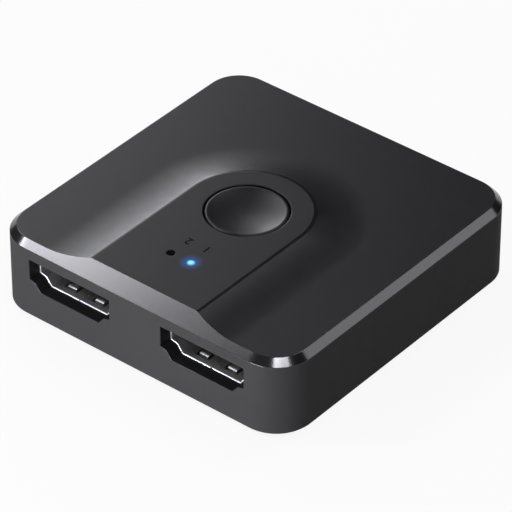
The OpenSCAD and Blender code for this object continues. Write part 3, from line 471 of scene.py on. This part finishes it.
class CaseForm:
    """The upper case as grids: bands carried round its outline, and patches between its lid's features."""

    # Steps of the grids round small edges, along the ridge's edge, flank, corners, front and back, and
    # round button and lights
    edge_steps = 4
    ridge_steps = 6
    flank_steps = 26
    corner_steps = 20
    front_steps = 6
    back_steps = 24
    hole_steps = 8
    light_steps = 5

    def __init__(self, case, button, mouth):
        self.case = case
        self.button = button
        self.mouth = mouth
        self.top_z = case.ridge_z - case.ridge_rise
        self.half_x = case.width / 2 - case.corner
        self.half_y = case.depth / 2 - case.corner
        self.flank_radius = (case.flank**2 + case.ridge_rise**2) / (2 * case.ridge_rise)
        self.plateau = case.ridge_half - case.ridge_soft
        self.foot = case.ridge_half + case.flank
        self.mouth_half = mouth.side_half + case.mouth_soft
        self.make_stations()

    def flank_height(self, run):
        """Hollow flank: height over the lid by the run from the flat, on a circle tangent to the lid."""
        away = self.case.flank - np.clip(run, 0, self.case.flank)
        return self.flank_radius - np.sqrt(self.flank_radius**2 - away**2)

    def relief(self, x, y):
        """Height of the lid by the distance from the ridge: flat, softened edge, hollow flank, flat lid."""
        across = np.abs(x)
        around = np.hypot(x, y - self.button.centre_y)
        run = np.where(y < self.button.centre_y, across, around) - self.case.ridge_half
        soft = self.case.ridge_soft
        fall = self.case.ridge_rise - self.flank_height(soft)
        eased = self.case.ridge_rise - fall * ((np.clip(run, -soft, soft) + soft) / (2 * soft)) ** 2
        return self.top_z + np.where(run < soft, eased, self.flank_height(run))

    def make_stations(self):
        """Points of the outline's inner skeleton and their outward directions, once round from the front.

        In each spread the numbers between two lengths are steps of the grid.
        """
        case, button = self.case, self.button
        soft = case.ridge_soft
        port = self.mouth.front_x
        # Half the side of the square that is laid round each light
        self.light_block = PIPE_X
        inner = port - self.mouth_half
        plateau = spread(0, 12, 2 * self.light_block, 2, inner, 8, self.plateau)
        flank = spread(self.plateau, self.ridge_steps, case.ridge_half + soft, self.flank_steps, self.foot)
        outer = spread(self.foot, 4, port + self.mouth_half, 2, self.half_x)
        self.columns = plateau
        half_front = np.concatenate([plateau, flank[1:], outer[1:]])
        front = np.concatenate([-half_front[:0:-1], half_front])
        self.edge_index = len(plateau) - 1

        self.row_stops = [
            PIPE_Y - self.light_block, PIPE_Y + self.light_block, button.centre_y - self.plateau
        ]
        self.rows = spread(
            self.row_stops[0], 12, self.row_stops[1], 4, self.row_stops[2], 14, button.centre_y
        )
        start = -case.depth / 2 + case.chamfer + case.ridge_rise
        edge_rows = np.concatenate([np.linspace(start, self.rows[0], self.front_steps + 1)[:-1], self.rows])
        part = (edge_rows - start) / (button.centre_y - start)
        right_front = -self.half_y + part * (button.centre_y + self.half_y)

        reach_x = self.half_x + case.corner - case.chamfer
        top_angle = math.atan2(self.half_y - button.centre_y, reach_x)
        right_back = button.centre_y + reach_x * np.tan(np.linspace(0, top_angle, self.back_steps + 1))
        rear = spread(0, 12, self.mouth_half, 12, self.half_x)
        rear = np.concatenate([rear[::-1], -rear[1:]])
        turn = np.linspace(0, math.pi / 2, self.corner_steps + 1)[1:-1]

        runs = [
            self.straight(front, -self.half_y, 0, -1),
            self.rounded(1, -1, turn - math.pi / 2),
            self.straight(self.half_x, np.concatenate([right_front, right_back[1:]]), 1, 0),
            self.rounded(1, 1, turn),
            self.straight(rear, self.half_y, 0, 1),
            self.rounded(-1, 1, turn + math.pi / 2),
            self.straight(-self.half_x, np.concatenate([right_front, right_back[1:]])[::-1], -1, 0),
            self.rounded(-1, -1, turn + math.pi),
        ]
        self.skeleton = np.concatenate([run[0] for run in runs])
        self.outward = np.concatenate([run[1] for run in runs])
        starts = np.cumsum([0] + [len(run[0]) for run in runs])
        middle = len(half_front) - 1
        self.middle_index = middle
        self.corner_end = starts[2]
        self.side_end = starts[2] + len(right_front) - 1
        self.side_start_left = starts[7] - len(right_front)
        self.ports = [
            (starts[0], starts[1], port),
            (starts[0], starts[1], -port),
            (starts[4], starts[5], 0.0),
        ]

    def straight(self, x, y, out_x, out_y):
        """Skeleton points of one straight side."""
        points = np.stack(np.broadcast_arrays(x, y), axis=1).astype(float)
        return points, np.tile([float(out_x), float(out_y)], (len(points), 1))

    def rounded(self, side_x, side_y, angle):
        """Skeleton points of one corner, all at its middle, fanning out by angle."""
        points = np.tile([side_x * self.half_x, side_y * self.half_y], (len(angle), 1))
        return points, np.stack([np.cos(angle), np.sin(angle)], axis=1)

    def inset(self, depth):
        """Plan points of the outline moved in by depth."""
        return self.skeleton + self.outward * (self.case.corner - np.reshape(depth, (-1, 1)))

    def ring(self, depth, height):
        """Closed row of points at an inset and a height, either one number or one per station."""
        plan = self.inset(depth)
        row = flat(plan[:, 0], plan[:, 1], height)
        return np.concatenate([row, row[:1]])

    def mouth_corners(self, grown):
        """Half outline of a socket opening, each edge moved out: half widths and heights of its corners."""
        return grown_outline(mouth_points(self.mouth), grown)

    def port_stations(self, port):
        """Station numbers under one socket opening, and their places across it from -1 to 1."""
        first, last, middle = port
        across = (self.skeleton[first:last, 0] - middle) / self.mouth_half
        inside = np.flatnonzero(np.abs(across) < 1 + WELD / self.mouth_half)
        return first + inside, across[inside]

    def wall(self, sheets, depth, grown, low, high):
        """Side wall at an inset, between two heights, with its columns drawn in to the socket openings."""
        corners = self.mouth_corners(grown)
        rows = [self.ring(depth, low)]
        rows += [self.ring(depth, z) for z in corners[:, 1]]
        rows.append(self.ring(depth, high))
        grid = np.stack(rows)
        keep = np.ones((len(rows) - 1, grid.shape[1] - 1), dtype=bool)
        for port in self.ports:
            stations, across = self.port_stations(port)
            grid[1:5, stations, 0] = port[2] + corners[:, :1] * across
            keep[1:4, stations.min():stations.max()] = False
        sheets.add(grid, WALL, keep)

    def tunnel(self, sheets, port):
        """Lining of a socket opening: rounded mouth, then straight in to the inside of the wall."""
        stations, across = self.port_stations(port)
        outward = self.outward[stations[0]]
        across = across[np.argsort(across)]
        angle = np.linspace(0, math.pi / 2, self.edge_steps + 1)
        soft = self.case.mouth_soft
        grown = np.append(soft * (1 - np.sin(angle)), 0)
        depth = np.append(soft * (1 - np.cos(angle)), self.case.wall)
        rows = []
        for more, inside in zip(grown, depth):
            half, z = self.mouth_corners(more).T
            x = np.concatenate([
                across * half[0], half[1:3], across[::-1] * half[3], -half[2:0:-1], -half[:1]
            ])
            count = len(across)
            height = np.concatenate([
                np.full(count, z[0]), z[1:3], np.full(count, z[3]), z[2:0:-1], z[:1]
            ])
            y = outward[1] * (self.case.depth / 2 - inside)
            rows.append(flat(port[2] + x, y, height))
        sheets.add(np.stack(rows))

    def chamfer_rows(self):
        """Rows of the polished chamfer: a 45 degree cut up to the lid's own height, both edges rounded."""
        case = self.case
        plan = self.inset(case.chamfer)
        size = case.chamfer + self.relief(plan[:, 0], plan[:, 1]) - self.top_z
        low = self.top_z - case.chamfer
        radius = case.edge_soft
        tangent = radius * math.tan(math.pi / 8)
        turn = np.linspace(0, math.pi / 4, self.edge_steps + 1)
        rows = [self.ring(radius * (1 - math.cos(a)), low - tangent + radius * math.sin(a)) for a in turn]
        rows += [
            self.ring(size + tangent - radius * math.cos(a), low + size - radius + radius * math.sin(a))
            for a in turn + math.pi / 4
        ]
        return np.stack(rows), size + tangent, low - tangent

    def light_patch(self, side, radius, columns, rows):
        """Square round one light, its edge drawn in along rays to the light's hole."""
        middle = np.array([side * PIPE_X, PIPE_Y])
        square = np.concatenate([
            np.stack([columns, np.full_like(columns, rows[0])], axis=1),
            np.stack([np.full_like(rows, columns[-1]), rows], axis=1)[1:],
            np.stack([columns[::-1], np.full_like(columns, rows[-1])], axis=1)[1:],
            np.stack([np.full_like(rows, columns[0]), rows[::-1]], axis=1)[1:],
        ])
        ray = (square - middle) / np.linalg.norm(square - middle, axis=1, keepdims=True)
        return between(middle + ray * radius, square, self.light_steps), ray, middle

    def lid_sheets(self, sheets, depth, button_radius, light_radius, sink):
        """One face of the lid, sunk below its outside: patches that follow ridge, button and lights.

        Returns the unit rays at the button's hole and at each light's hole, with their middles.
        """
        button_y = self.button.centre_y

        def lay(plan, finish=LID):
            x, y = plan[..., 0], plan[..., 1]
            sheets.add(flat(x, y, self.relief(x, y) - sink), finish)

        def lay_flank(plan):
            lay(plan[:, :self.ridge_steps + 1], RIDGE)
            lay(plan[:, self.ridge_steps:])

        loop = self.inset(depth)
        edge = self.middle_index + self.edge_index
        bottom = loop[edge:self.corner_end + 1]
        right = loop[self.corner_end:self.side_end + 1]
        start = bottom[0, 1]
        edge_rows = np.concatenate([np.linspace(start, self.rows[0], self.front_steps + 1)[:-1], self.rows])
        left = np.stack([np.full_like(edge_rows, self.plateau), edge_rows], axis=1)
        top = np.stack([bottom[:, 0], np.full(len(bottom), button_y)], axis=1)
        side = coons(bottom, top, left, right)
        side[..., 0] = bottom[:, 0]
        lay_flank(side)
        lay_flank(side * [-1, 1])

        middle = np.array([0, button_y])
        outline = loop[self.side_end:self.side_start_left + 1] - middle
        reach = np.linalg.norm(outline, axis=1)
        ray = outline / reach[:, None]
        column = top[:, 0]
        beyond = np.clip((column - self.foot) / (column[-1] - self.foot), 0, 1)
        radius = np.minimum(column, self.foot)[None] + beyond * (reach[:, None] - self.foot)
        lay_flank(middle + ray[:, None] * radius[..., None])
        lay(between(middle + ray * button_radius, middle + ray * self.plateau, self.hole_steps))

        across = np.concatenate([-self.columns[:0:-1], self.columns])
        front = loop[self.middle_index - self.edge_index:self.middle_index + self.edge_index + 1]
        block = [np.flatnonzero(np.isclose(self.rows, stop, atol=WELD))[0] for stop in self.row_stops]

        def level(y):
            return np.stack([across, np.full_like(across, y)], axis=1)

        lay(between(front, level(self.rows[0]), self.front_steps))
        lay(np.stack([level(y) for y in self.rows[block[1]:block[2] + 1]]))
        light_rows = self.rows[block[0]:block[1] + 1]
        inner = np.flatnonzero(np.isclose(self.columns, 2 * self.light_block, atol=WELD))[0]
        beside = self.columns[inner:]
        strip = np.stack(np.broadcast_arrays(beside[None], light_rows[:, None]), axis=-1)
        lay(strip)
        lay(strip * [-1, 1])
        lights = []
        for hand in (-1, 1):
            columns = np.sort(hand * self.columns[:inner + 1])
            patch, light_ray, light_middle = self.light_patch(hand, light_radius, columns, light_rows)
            lay(patch)
            lights.append((light_middle, light_ray))

        side_rows = self.rows[block[2]:]
        path = np.concatenate([
            np.stack([np.full_like(side_rows, -self.plateau), side_rows[::-1]], axis=1),
            level(side_rows[0])[1:-1],
            np.stack([np.full_like(side_rows, self.plateau), side_rows], axis=1),
        ]) - middle
        front_ray = path / np.linalg.norm(path, axis=1, keepdims=True)
        lay(between(middle + front_ray * button_radius, middle + path, self.hole_steps))
        return np.concatenate([ray, front_ray[1:]]), lights

    def sheets(self):
        """All grids of the closed upper case."""
        case, button = self.case, self.button
        made = Sheets()
        ledge = PLATE_LOW.z + case.plate
        ceiling_plan = self.inset(case.wall)
        ceiling = self.relief(ceiling_plan[:, 0], ceiling_plan[:, 1]) - case.lid
        made.add(np.stack([
            self.ring(case.skirt, ledge),
            self.ring(case.skirt, case.rim_z),
            self.ring(case.rim_break, case.rim_z),
            self.ring(0, case.rim_z + case.rim_break),
        ]), WALL)
        made.add(np.stack([self.ring(case.skirt, ledge), self.ring(case.wall, ledge)]), WALL)
        chamfer, lid_depth, wall_top = self.chamfer_rows()
        made.add(chamfer, EDGE)
        self.wall(made, 0, case.mouth_soft, case.rim_z + case.rim_break, wall_top)
        self.wall(made, case.wall, 0, ledge, ceiling)
        for port in self.ports:
            self.tunnel(made, port)

        soft = case.hole_soft
        hole = CAP_HIGH.x - button.flange + button.gap
        under = case.ridge_z - case.lid
        rays, lights = self.lid_sheets(made, lid_depth, hole + soft, button.pipe_hole + soft, 0)
        inner_rays, _ = self.lid_sheets(made, case.wall, hole + button.collar, button.sleeve, case.lid)
        collar_z = under - button.collar_drop
        profile = filleted([
            [hole + soft, case.ridge_z],
            [hole, case.ridge_z],
            [hole, collar_z],
            [hole + button.collar, collar_z],
            [hole + button.collar, under],
        ], [soft, 0, 0])
        centre = [0, button.centre_y]
        collar = turned(profile, centre, rays)
        collar[-1:] = turned(profile[-1:], centre, inner_rays)
        made.add(collar)
        for middle, ray in lights:
            made.add(turned(filleted([
                [button.pipe_hole + soft, case.ridge_z],
                [button.pipe_hole, case.ridge_z],
                [button.pipe_hole, under],
                [button.sleeve_hole, under],
                [button.sleeve_hole, under - button.sleeve_drop],
                [button.sleeve, under - button.sleeve_drop],
                [button.sleeve, under],
            ], [soft, 0, 0, 0, 0]), middle, ray))
        return made


# Materials


class Finish:
    """One procedural material: a Principled shader with textures that read Object coordinates in metres."""

    def __init__(self, name):
        self.material = bpy.data.materials.new(name)
        self.material.use_nodes = True
        self.nodes = self.material.node_tree.nodes
        self.links = self.material.node_tree.links
        self.shader = self.nodes["Principled BSDF"]
        self.place = self.nodes.new("ShaderNodeTexCoord").outputs["Object"]

    def set(self, **values):
        """Set constant sockets of the shader, named in lower case with underscores."""
        for key, value in values.items():
            self.shader.inputs[key.replace("_", " ").title().replace("Ior", "IOR")].default_value = value
        return self

    def put(self, socket, value):
        """Link a socket to another one, or set it."""
        if isinstance(value, bpy.types.NodeSocket):
            self.links.new(value, socket)
        else:
            socket.default_value = value

    def node(self, kind, **inputs):
        """Add a node and set or link its inputs by name."""
        made = self.nodes.new(kind)
        for key, value in inputs.items():
            self.put(made.inputs[key.replace("_", " ").title()], value)
        return made

    def math(self, operation, first, second):
        """Result of an arithmetic operation on two sockets or numbers."""
        made = self.nodes.new("ShaderNodeMath")
        made.operation = operation
        self.put(made.inputs[0], first)
        self.put(made.inputs[1], second)
        return made.outputs[0]

    def away_from(self, place):
        """Distance from a place."""
        made = self.nodes.new("ShaderNodeVectorMath")
        made.operation = "DISTANCE"
        self.put(made.inputs[0], self.place)
        self.put(made.inputs[1], place)
        return made.outputs["Value"]

    def noise(self, size, detail=2.0, stretch=None):
        """Noise whose grains are about size metres wide; stretch scales the three directions."""
        place = self.place
        if stretch is not None:
            place = self.node("ShaderNodeMapping", vector=place, scale=stretch).outputs["Vector"]
        return self.node("ShaderNodeTexNoise", vector=place, scale=1 / size, detail=detail).outputs["Fac"]

    def range(self, value, low, high, from_low=0.3, from_high=0.7):
        """Value from one range into another, clamped."""
        made = self.node(
            "ShaderNodeMapRange", value=value, from_min=from_low, from_max=from_high, to_min=low, to_max=high
        )
        return made.outputs["Result"]

    def blend(self, factor, first, second):
        """Mix of two colours by a factor."""
        made = self.nodes.new("ShaderNodeMix")
        made.data_type = "RGBA"
        self.links.new(factor, made.inputs["Factor"])
        made.inputs[MIX_FIRST].default_value = (*first, 1)
        made.inputs[MIX_SECOND].default_value = (*second, 1)
        return made.outputs[MIX_RESULT]

    def coloured(self, factor, first, second):
        """Base colour that wanders between two colours."""
        self.links.new(self.blend(factor, first, second), self.shader.inputs["Base Color"])
        return self

    def rough(self, factor, low, high):
        """Roughness that wanders between two values."""
        self.links.new(self.range(factor, low, high), self.shader.inputs["Roughness"])
        return self

    def bumped(self, height, strength, distance):
        """Bump from a height of the given depth in metres."""
        bump = self.node("ShaderNodeBump", strength=strength, distance=distance, height=height)
        self.links.new(bump.outputs["Normal"], self.shader.inputs["Normal"])
        return self


def darker(tone, by):
    """Colour times a factor."""
    return tuple(channel * by for channel in tone)


def satin_plastic(name, tone, rough, grain, grain_size=GRAIN):
    """Moulded plastic: even satin with a spark-eroded grain, a little uneven in gloss and tone."""
    made = Finish(name)
    cloud = made.noise(7 * MM, 3)
    fine = made.noise(grain_size, 2)
    made.coloured(cloud, darker(tone, 0.93), darker(tone, 1.07))
    made.rough(made.noise(1.5 * MM, 4), rough - 0.03, rough + 0.03)
    made.bumped(fine, grain, 0.01 * MM)
    return made


def case_plastic(finish):
    """Satin black plastic with a painted blue glow, emission of the plastic itself, round the lit indicator.
    """
    made = satin_plastic("case_satin", finish.case, finish.case_rough, finish.case_grain)
    made.set(specular_ior_level=finish.case_shine)
    # Painted glow: emission of the case plastic, strongest at the lit indicator and fading away from it
    near = made.range(made.away_from(LIGHT), 1, 0, finish.painted_glow_start, finish.painted_glow_end)
    glow = made.math("MULTIPLY", made.math("MULTIPLY", near, near), finish.painted_glow_level)
    made.links.new(glow, made.shader.inputs["Emission Strength"])
    made.shader.inputs["Emission Color"].default_value = (*finish.painted_glow, 1)
    return made.material


def polished_edge(finish):
    """Black plastic cut and polished along the chamfer, with a faint fine bump."""
    made = Finish("polished_edge")
    made.coloured(made.noise(5 * MM, 3), darker(finish.edge, 0.9), darker(finish.edge, 1.1))
    made.rough(made.noise(0.8 * MM, 4), finish.edge_rough - 0.01, finish.edge_rough + 0.01)
    made.bumped(made.noise(0.25 * MM, 2), 0.001, 0.01 * MM)
    made.set(specular_ior_level=finish.edge_shine)
    return made.material


def ridge_edge(finish):
    """The case's plastic where the mould leaves the edge of the ridge smooth."""
    made = satin_plastic("ridge_smooth", finish.case, finish.ridge_rough, 0.01)
    made.set(specular_ior_level=finish.case_shine)
    return made.material


def wall_plastic(finish):
    """Matte black plastic of the side walls."""
    made = satin_plastic("wall_matte", finish.wall, finish.wall_rough, 0.08)
    made.set(specular_ior_level=finish.wall_shine)
    return made.material


def button_plastic(finish):
    """The button's smoother satin plastic."""
    made = satin_plastic("button_satin", finish.button, finish.button_rough, 0.03)
    made.set(specular_ior_level=finish.case_shine)
    return made.material


def legend_ink(finish):
    """Dull dark print, slightly uneven."""
    made = Finish("legend_ink")
    made.coloured(made.noise(0.1 * MM, 3), darker(finish.legend, 0.7), darker(finish.legend, 1.4))
    made.rough(made.noise(0.2 * MM, 3), 0.6, 0.75)
    made.set(specular_ior_level=0.0)
    made.bumped(made.noise(0.06 * MM, 2), 0.05, 0.005 * MM)
    return made.material


def plated_metal(name, tone, rough, scratch=0.05, line=0.12 * MM):
    """Plated sheet metal: rolling lines along the sheet, cloudy gloss and tone."""
    made = Finish(name)
    rolled = made.noise(line, 3, stretch=(1.0, 0.08, 1.0))
    made.coloured(made.noise(1.2 * MM, 4), darker(tone, 0.88), tone)
    made.rough(rolled, rough - 0.05, rough + 0.08)
    made.bumped(rolled, scratch, 0.01 * MM)
    made.set(metallic=1.0)
    return made


def node_finishes(finish):
    """Material for each finish that the frame's own nodes carry, by the name of the record's slot."""
    made = {slot: satin_plastic(*look).material for slot, *look in MOULDINGS}
    made.update({slot: plated_metal(*look).material for slot, *look in PLATINGS})
    shell = darker(finish.steel, finish.shell_tone)
    made["socket_steel"] = plated_metal("socket_plating", shell, finish.shell_rough).material
    made["board_laminate"] = board_laminate()
    made["lit_pipe"] = lit_pipe(finish)
    made["dark_pipe"] = dark_pipe()
    return made


def board_laminate():
    """Blackish green solder mask over a faint weave of glass cloth."""
    made = Finish("board_mask")
    warp = made.noise(0.3 * MM, 1, stretch=(1.0, 0.1, 1.0))
    weft = made.noise(0.3 * MM, 1, stretch=(0.1, 1.0, 1.0))
    weave = made.math("ADD", warp, weft)
    made.coloured(made.range(weave, 0, 1, 0.7, 1.3), (0.004, 0.012, 0.008), (0.006, 0.02, 0.013))
    made.rough(made.noise(2 * MM, 3), 0.3, 0.42)
    made.bumped(weave, 0.05, 0.01 * MM)
    return made.material


def lit_pipe(finish):
    """Clear pipe with its lamp on: white hot in the middle, blue towards the edge."""
    made = Finish("lit_indicator")
    rim = made.range(made.away_from(LIGHT), 0, 1, 0.25 * MM, 0.6 * MM)
    made.coloured(made.noise(0.3 * MM), (0.02, 0.05, 0.1), (0.03, 0.07, 0.13))
    glow = made.blend(rim, finish.core, finish.light)
    made.links.new(glow, made.shader.inputs["Emission Color"])
    made.links.new(made.range(rim, 1.0, 0.6, 0, 1), made.shader.inputs["Emission Strength"])
    made.rough(made.noise(0.2 * MM), 0.15, 0.25)
    made.bumped(made.noise(0.1 * MM), 0.03, 0.01 * MM)
    return made.material


def dark_pipe():
    """Smoked pipe with its lamp off: almost black under a polished end."""
    made = Finish("dark_indicator")
    made.coloured(made.noise(0.4 * MM), (0.002, 0.002, 0.0025), (0.005, 0.005, 0.006))
    made.rough(made.noise(0.2 * MM), 0.3, 0.4)
    made.bumped(made.noise(0.1 * MM), 0.03, 0.01 * MM)
    made.set(specular_ior_level=0.0)
    return made.material


# Operators


class SWITCHBOX_OT_case(bpy.types.Operator):
    """Build the upper case over its solid"""

    bl_idname = "switchbox.case"
    bl_label = "Upper case"

    def execute(self, context):
        box = settings()
        sheets = CaseForm(box.case, box.button, box.mouth).sheets()
        finishes = [
            make(box.finish) for make in (case_plastic, polished_edge, wall_plastic, ridge_edge)
        ]
        piece = sheets.piece("case_shell", finishes)
        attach(piece, "case")
        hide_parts("upper_case")
        return {"FINISHED"}


class SWITCHBOX_OT_button(bpy.types.Operator):
    """Build the dished push button over its solid"""

    bl_idname = "switchbox.button"
    bl_label = "Push button"

    def execute(self, context):
        box = settings()
        size = box.button
        radius = CAP_HIGH.x - size.flange
        top = CAP_HIGH.z
        dish = radius - size.rim
        ball = (dish**2 + size.dish**2) / (2 * size.dish)
        across = np.linspace(0, dish, HOLLOW_STEPS + 1)
        hollow = np.stack([across, top - size.dish + ball - np.sqrt(ball**2 - across**2)], axis=1)
        roof = top - size.dish - size.skin
        flange_top = size.flange_z + size.flange_t
        corners = np.concatenate([hollow, [
            [radius, top],
            [radius, flange_top],
            [radius + size.flange, flange_top],
            [radius + size.flange, size.flange_z],
            [radius - size.skirt, size.flange_z],
            [radius - size.skirt, roof],
            [size.post, roof],
            [size.post, CAP_LOW.z],
            [0, CAP_LOW.z],
        ]])
        radii = [0] * (len(hollow) - 2) + [size.dish_soft, size.rim_soft]
        radii += [size.edge_soft] * (len(corners) - 2 - len(radii))
        sheets = Sheets()
        sheets.add(turned(filleted(corners, radii), [0, size.centre_y], circle(ROUND_STEPS)))
        piece = sheets.piece("button_dished", [button_plastic(box.finish)])
        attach(piece, "button")
        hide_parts("button_cap")
        return {"FINISHED"}


class SWITCHBOX_OT_legends(bpy.types.Operator):
    """Print the two numbers between lights and button, to be read from behind the box"""

    bl_idname = "switchbox.legends"
    bl_label = "Numbers"

    def execute(self, context):
        box = settings()
        size = box.legend
        ink = legend_ink(box.finish)
        for digit, middle in (("1", size.one), ("2", size.two)):
            text = bpy.data.curves.new(f"legend_{digit}", "FONT")
            text.body = digit
            text.size = size.height
            text.align_x = "CENTER"
            text.align_y = "CENTER"
            text.offset = size.bold
            text.extrude = size.ink
            holder = bpy.data.objects.new(f"legend_text_{digit}", text)
            context.scene.collection.objects.link(holder)
            context.view_layer.update()
            mesh = bpy.data.meshes.new_from_object(holder.evaluated_get(context.evaluated_depsgraph_get()))
            bpy.data.objects.remove(holder)
            place = Matrix.Translation((*middle, box.case.ridge_z + size.lift))
            mesh.transform(place @ Matrix.Rotation(math.pi, 4, "Z"))
            mesh.materials.clear()
            mesh.materials.append(ink)
            piece = bpy.data.objects.new(f"legend_{digit}", mesh)
            context.scene.collection.objects.link(piece)
            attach(piece, "case")
        return {"FINISHED"}


class SWITCHBOX_OT_lips(bpy.types.Operator):
    """Round the front edge of each socket's shell"""

    bl_idname = "switchbox.lips"
    bl_label = "Socket edges"

    def execute(self, context):
        mouth, finish = settings().mouth, settings().finish
        inner = mouth_points(mouth, mouth.side_gap, mouth.floor_gap, mouth.roof_gap)
        angle = np.linspace(0, math.pi, LIP_STEPS + 1)
        growth = mouth.sheet / 2 * (1 - np.cos(angle))
        swell = mouth.sheet / 2 * np.sin(angle)
        right = np.stack([
            np.concatenate([[[mouth.seam / 2, inner[0, 1] - more]], grown_outline(inner, more)])
            for more in growth
        ])
        path = np.concatenate([right, right[:, ::-1] * [-1, 1]], axis=1)
        front_y = FRONT_SHELL_LOW.y
        # Brighter steel than the shells' own: a painted highlight on the rounded edges
        tone = darker(finish.steel, finish.lip_highlight_tone)
        bright = plated_metal("socket_edge", tone, finish.lip_rough, scratch=0.005, line=1.5 * MM).material
        places = (
            ("front_left_lip", -mouth.front_x, front_y, 1),
            ("front_right_lip", mouth.front_x, front_y, 1),
            ("rear_lip", 0, -front_y, -1),
        )
        for name, x, y, facing in places:
            sheets = Sheets()
            front = flat(x + facing * path[..., 0], y - facing * swell[:, None], path[..., 1])
            back = flat(x + facing * path[..., 0], y, path[..., 1])
            sheets.add(front)
            sheets.add(back)
            sheets.add(np.stack([front[:, 0], back[:, 0]]))
            sheets.add(np.stack([front[:, -1], back[:, -1]]))
            piece = sheets.piece(name, [bright])
            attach(piece, "case")
        return {"FINISHED"}


class SWITCHBOX_OT_dome(bpy.types.Operator):
    """Give the switch's snap dome a mesh of its own"""

    bl_idname = "switchbox.dome"
    bl_label = "Snap dome"

    def execute(self, context):
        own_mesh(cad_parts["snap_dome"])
        return {"FINISHED"}


class SWITCHBOX_OT_finishes(bpy.types.Operator):
    """Give every node of the frame that shows its own material"""

    bl_idname = "switchbox.finishes"
    bl_label = "Finishes"

    def execute(self, context):
        made = node_finishes(settings().finish)
        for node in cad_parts.values():
            if node.hide_render:
                continue
            slot = node.data.materials[0].name
            node.data.materials[0] = made[slot]
        return {"FINISHED"}


def heading(azimuth, elevation):
    """Unit vector towards a place seen from the box: azimuth from the front towards the right, then up."""
    level = math.cos(elevation)
    return Vector((math.sin(azimuth) * level, -math.cos(azimuth) * level, math.sin(elevation)))


def softbox(name, azimuth, elevation, width, height, distance, power):
    """Rectangular soft lamp that faces the box, in a direction given in degrees."""
    stage = settings().stage
    away = heading(math.radians(azimuth), math.radians(elevation))
    lamp = bpy.data.lights.new(name, "AREA")
    lamp.shape = "RECTANGLE"
    lamp.size = width
    lamp.size_y = height
    lamp.energy = power
    lamp.color = stage.lamp
    holder = bpy.data.objects.new(name, lamp)
    holder.location = Vector(stage.aim) + away * distance
    holder.rotation_mode = "QUATERNION"
    holder.rotation_quaternion = (-away).to_track_quat("-Z", "Y")
    holder.visible_camera = False
    bpy.context.scene.collection.objects.link(holder)


def floor_material(stage):
    """Pale floor, white to the eye and in mirrors, that keeps the shadow of what stands on it."""
    made = Finish("floor_pale")
    made.set(roughness=0.9, specular_ior_level=0.0)
    made.coloured(made.noise(0.4, 2), darker(stage.floor, 0.99), stage.floor)
    path = made.nodes.new("ShaderNodeLightPath").outputs
    seen = made.math("MAXIMUM", path["Is Camera Ray"], path["Is Glossy Ray"])
    seen = made.math("MAXIMUM", seen, path["Is Transmission Ray"])
    white = made.nodes.new("ShaderNodeEmission")
    mixed = made.nodes.new("ShaderNodeMixShader")
    made.links.new(made.math("MULTIPLY", seen, stage.floor_white), mixed.inputs[0])
    made.links.new(made.shader.outputs[0], mixed.inputs[1])
    made.links.new(white.outputs[0], mixed.inputs[2])
    made.links.new(mixed.outputs[0], made.nodes["Material Output"].inputs["Surface"])
    return made.material


class SWITCHBOX_OT_stage(bpy.types.Operator):
    """Set up the pale floor, the soft lamps, the surroundings and the camera"""

    bl_idname = "switchbox.stage"
    bl_label = "Stage"

    def execute(self, context):
        stage = settings().stage
        scene = context.scene
        scene.view_settings.view_transform = "Standard"

        half = stage.floor_half
        mesh = bpy.data.meshes.new("floor")
        corners = flat(*np.meshgrid([-half, half], [-half, half]), -stage.floor_drop)
        mesh.from_pydata(corners.reshape(-1, 3).tolist(), [], grid_faces(2, 2, 0).tolist())
        mesh.materials.append(floor_material(stage))
        floor = bpy.data.objects.new("floor", mesh)
        scene.collection.objects.link(floor)

        world = bpy.data.worlds.new("surroundings")
        world.use_nodes = True
        world.node_tree.nodes["Background"].inputs["Color"].default_value = (*stage.world, 1)
        scene.world = world

        for lamp in LAMPS:
            softbox(*lamp)

        camera = bpy.data.cameras.new("camera")
        camera.lens = stage.lens
        camera.sensor_width = stage.sensor
        holder = bpy.data.objects.new("camera", camera)
        turn, rise = stage.azimuth, stage.elevation
        back = heading(turn, rise)
        right = Vector((math.cos(turn), math.sin(turn), 0))
        up = back.cross(right)
        axes = Matrix((right, up, back)).transposed().to_4x4()
        holder.matrix_world = Matrix.Translation(Vector(stage.camera)) @ axes
        scene.collection.objects.link(holder)
        scene.camera = holder
        return {"FINISHED"}


class SWITCHBOX_PT_panel(bpy.types.Panel):
    """Lists the steps that build the switch box"""

    bl_idname = "SWITCHBOX_PT_panel"
    bl_label = "Switch box"
    bl_space_type = "VIEW_3D"
    bl_region_type = "UI"
    bl_category = "Switch box"

    def draw(self, context):
        column = self.layout.column()
        for step in STEPS:
            column.operator(step.bl_idname)


STEPS = (
    SWITCHBOX_OT_case,
    SWITCHBOX_OT_button,
    SWITCHBOX_OT_legends,
    SWITCHBOX_OT_finishes,
    SWITCHBOX_OT_dome,
    SWITCHBOX_OT_lips,
    SWITCHBOX_OT_stage,
)
GROUPS = (CaseSizes, ButtonSizes, LegendSizes, MouthSizes, Finishes, StageSettings, SwitchBox)
CLASSES = (*GROUPS, *STEPS, SWITCHBOX_PT_panel)


def register():
    """Register the classes and hang the settings on the scene."""
    for kind in CLASSES:
        bpy.utils.register_class(kind)
    bpy.types.Scene.switch_box = PointerProperty(type=SwitchBox)


def unregister():
    """Take the settings off the scene and the classes out again."""
    del bpy.types.Scene.switch_box
    for kind in reversed(CLASSES):
        bpy.utils.unregister_class(kind)


def main():
    """Build everything in order."""
    register()
    bpy.ops.switchbox.case()
    bpy.ops.switchbox.button()
    bpy.ops.switchbox.legends()
    bpy.ops.switchbox.finishes()
    bpy.ops.switchbox.dome()
    bpy.ops.switchbox.lips()
    bpy.ops.switchbox.stage()
    bpy.context.view_layer.update()


if __name__ == "__main__":
    main()
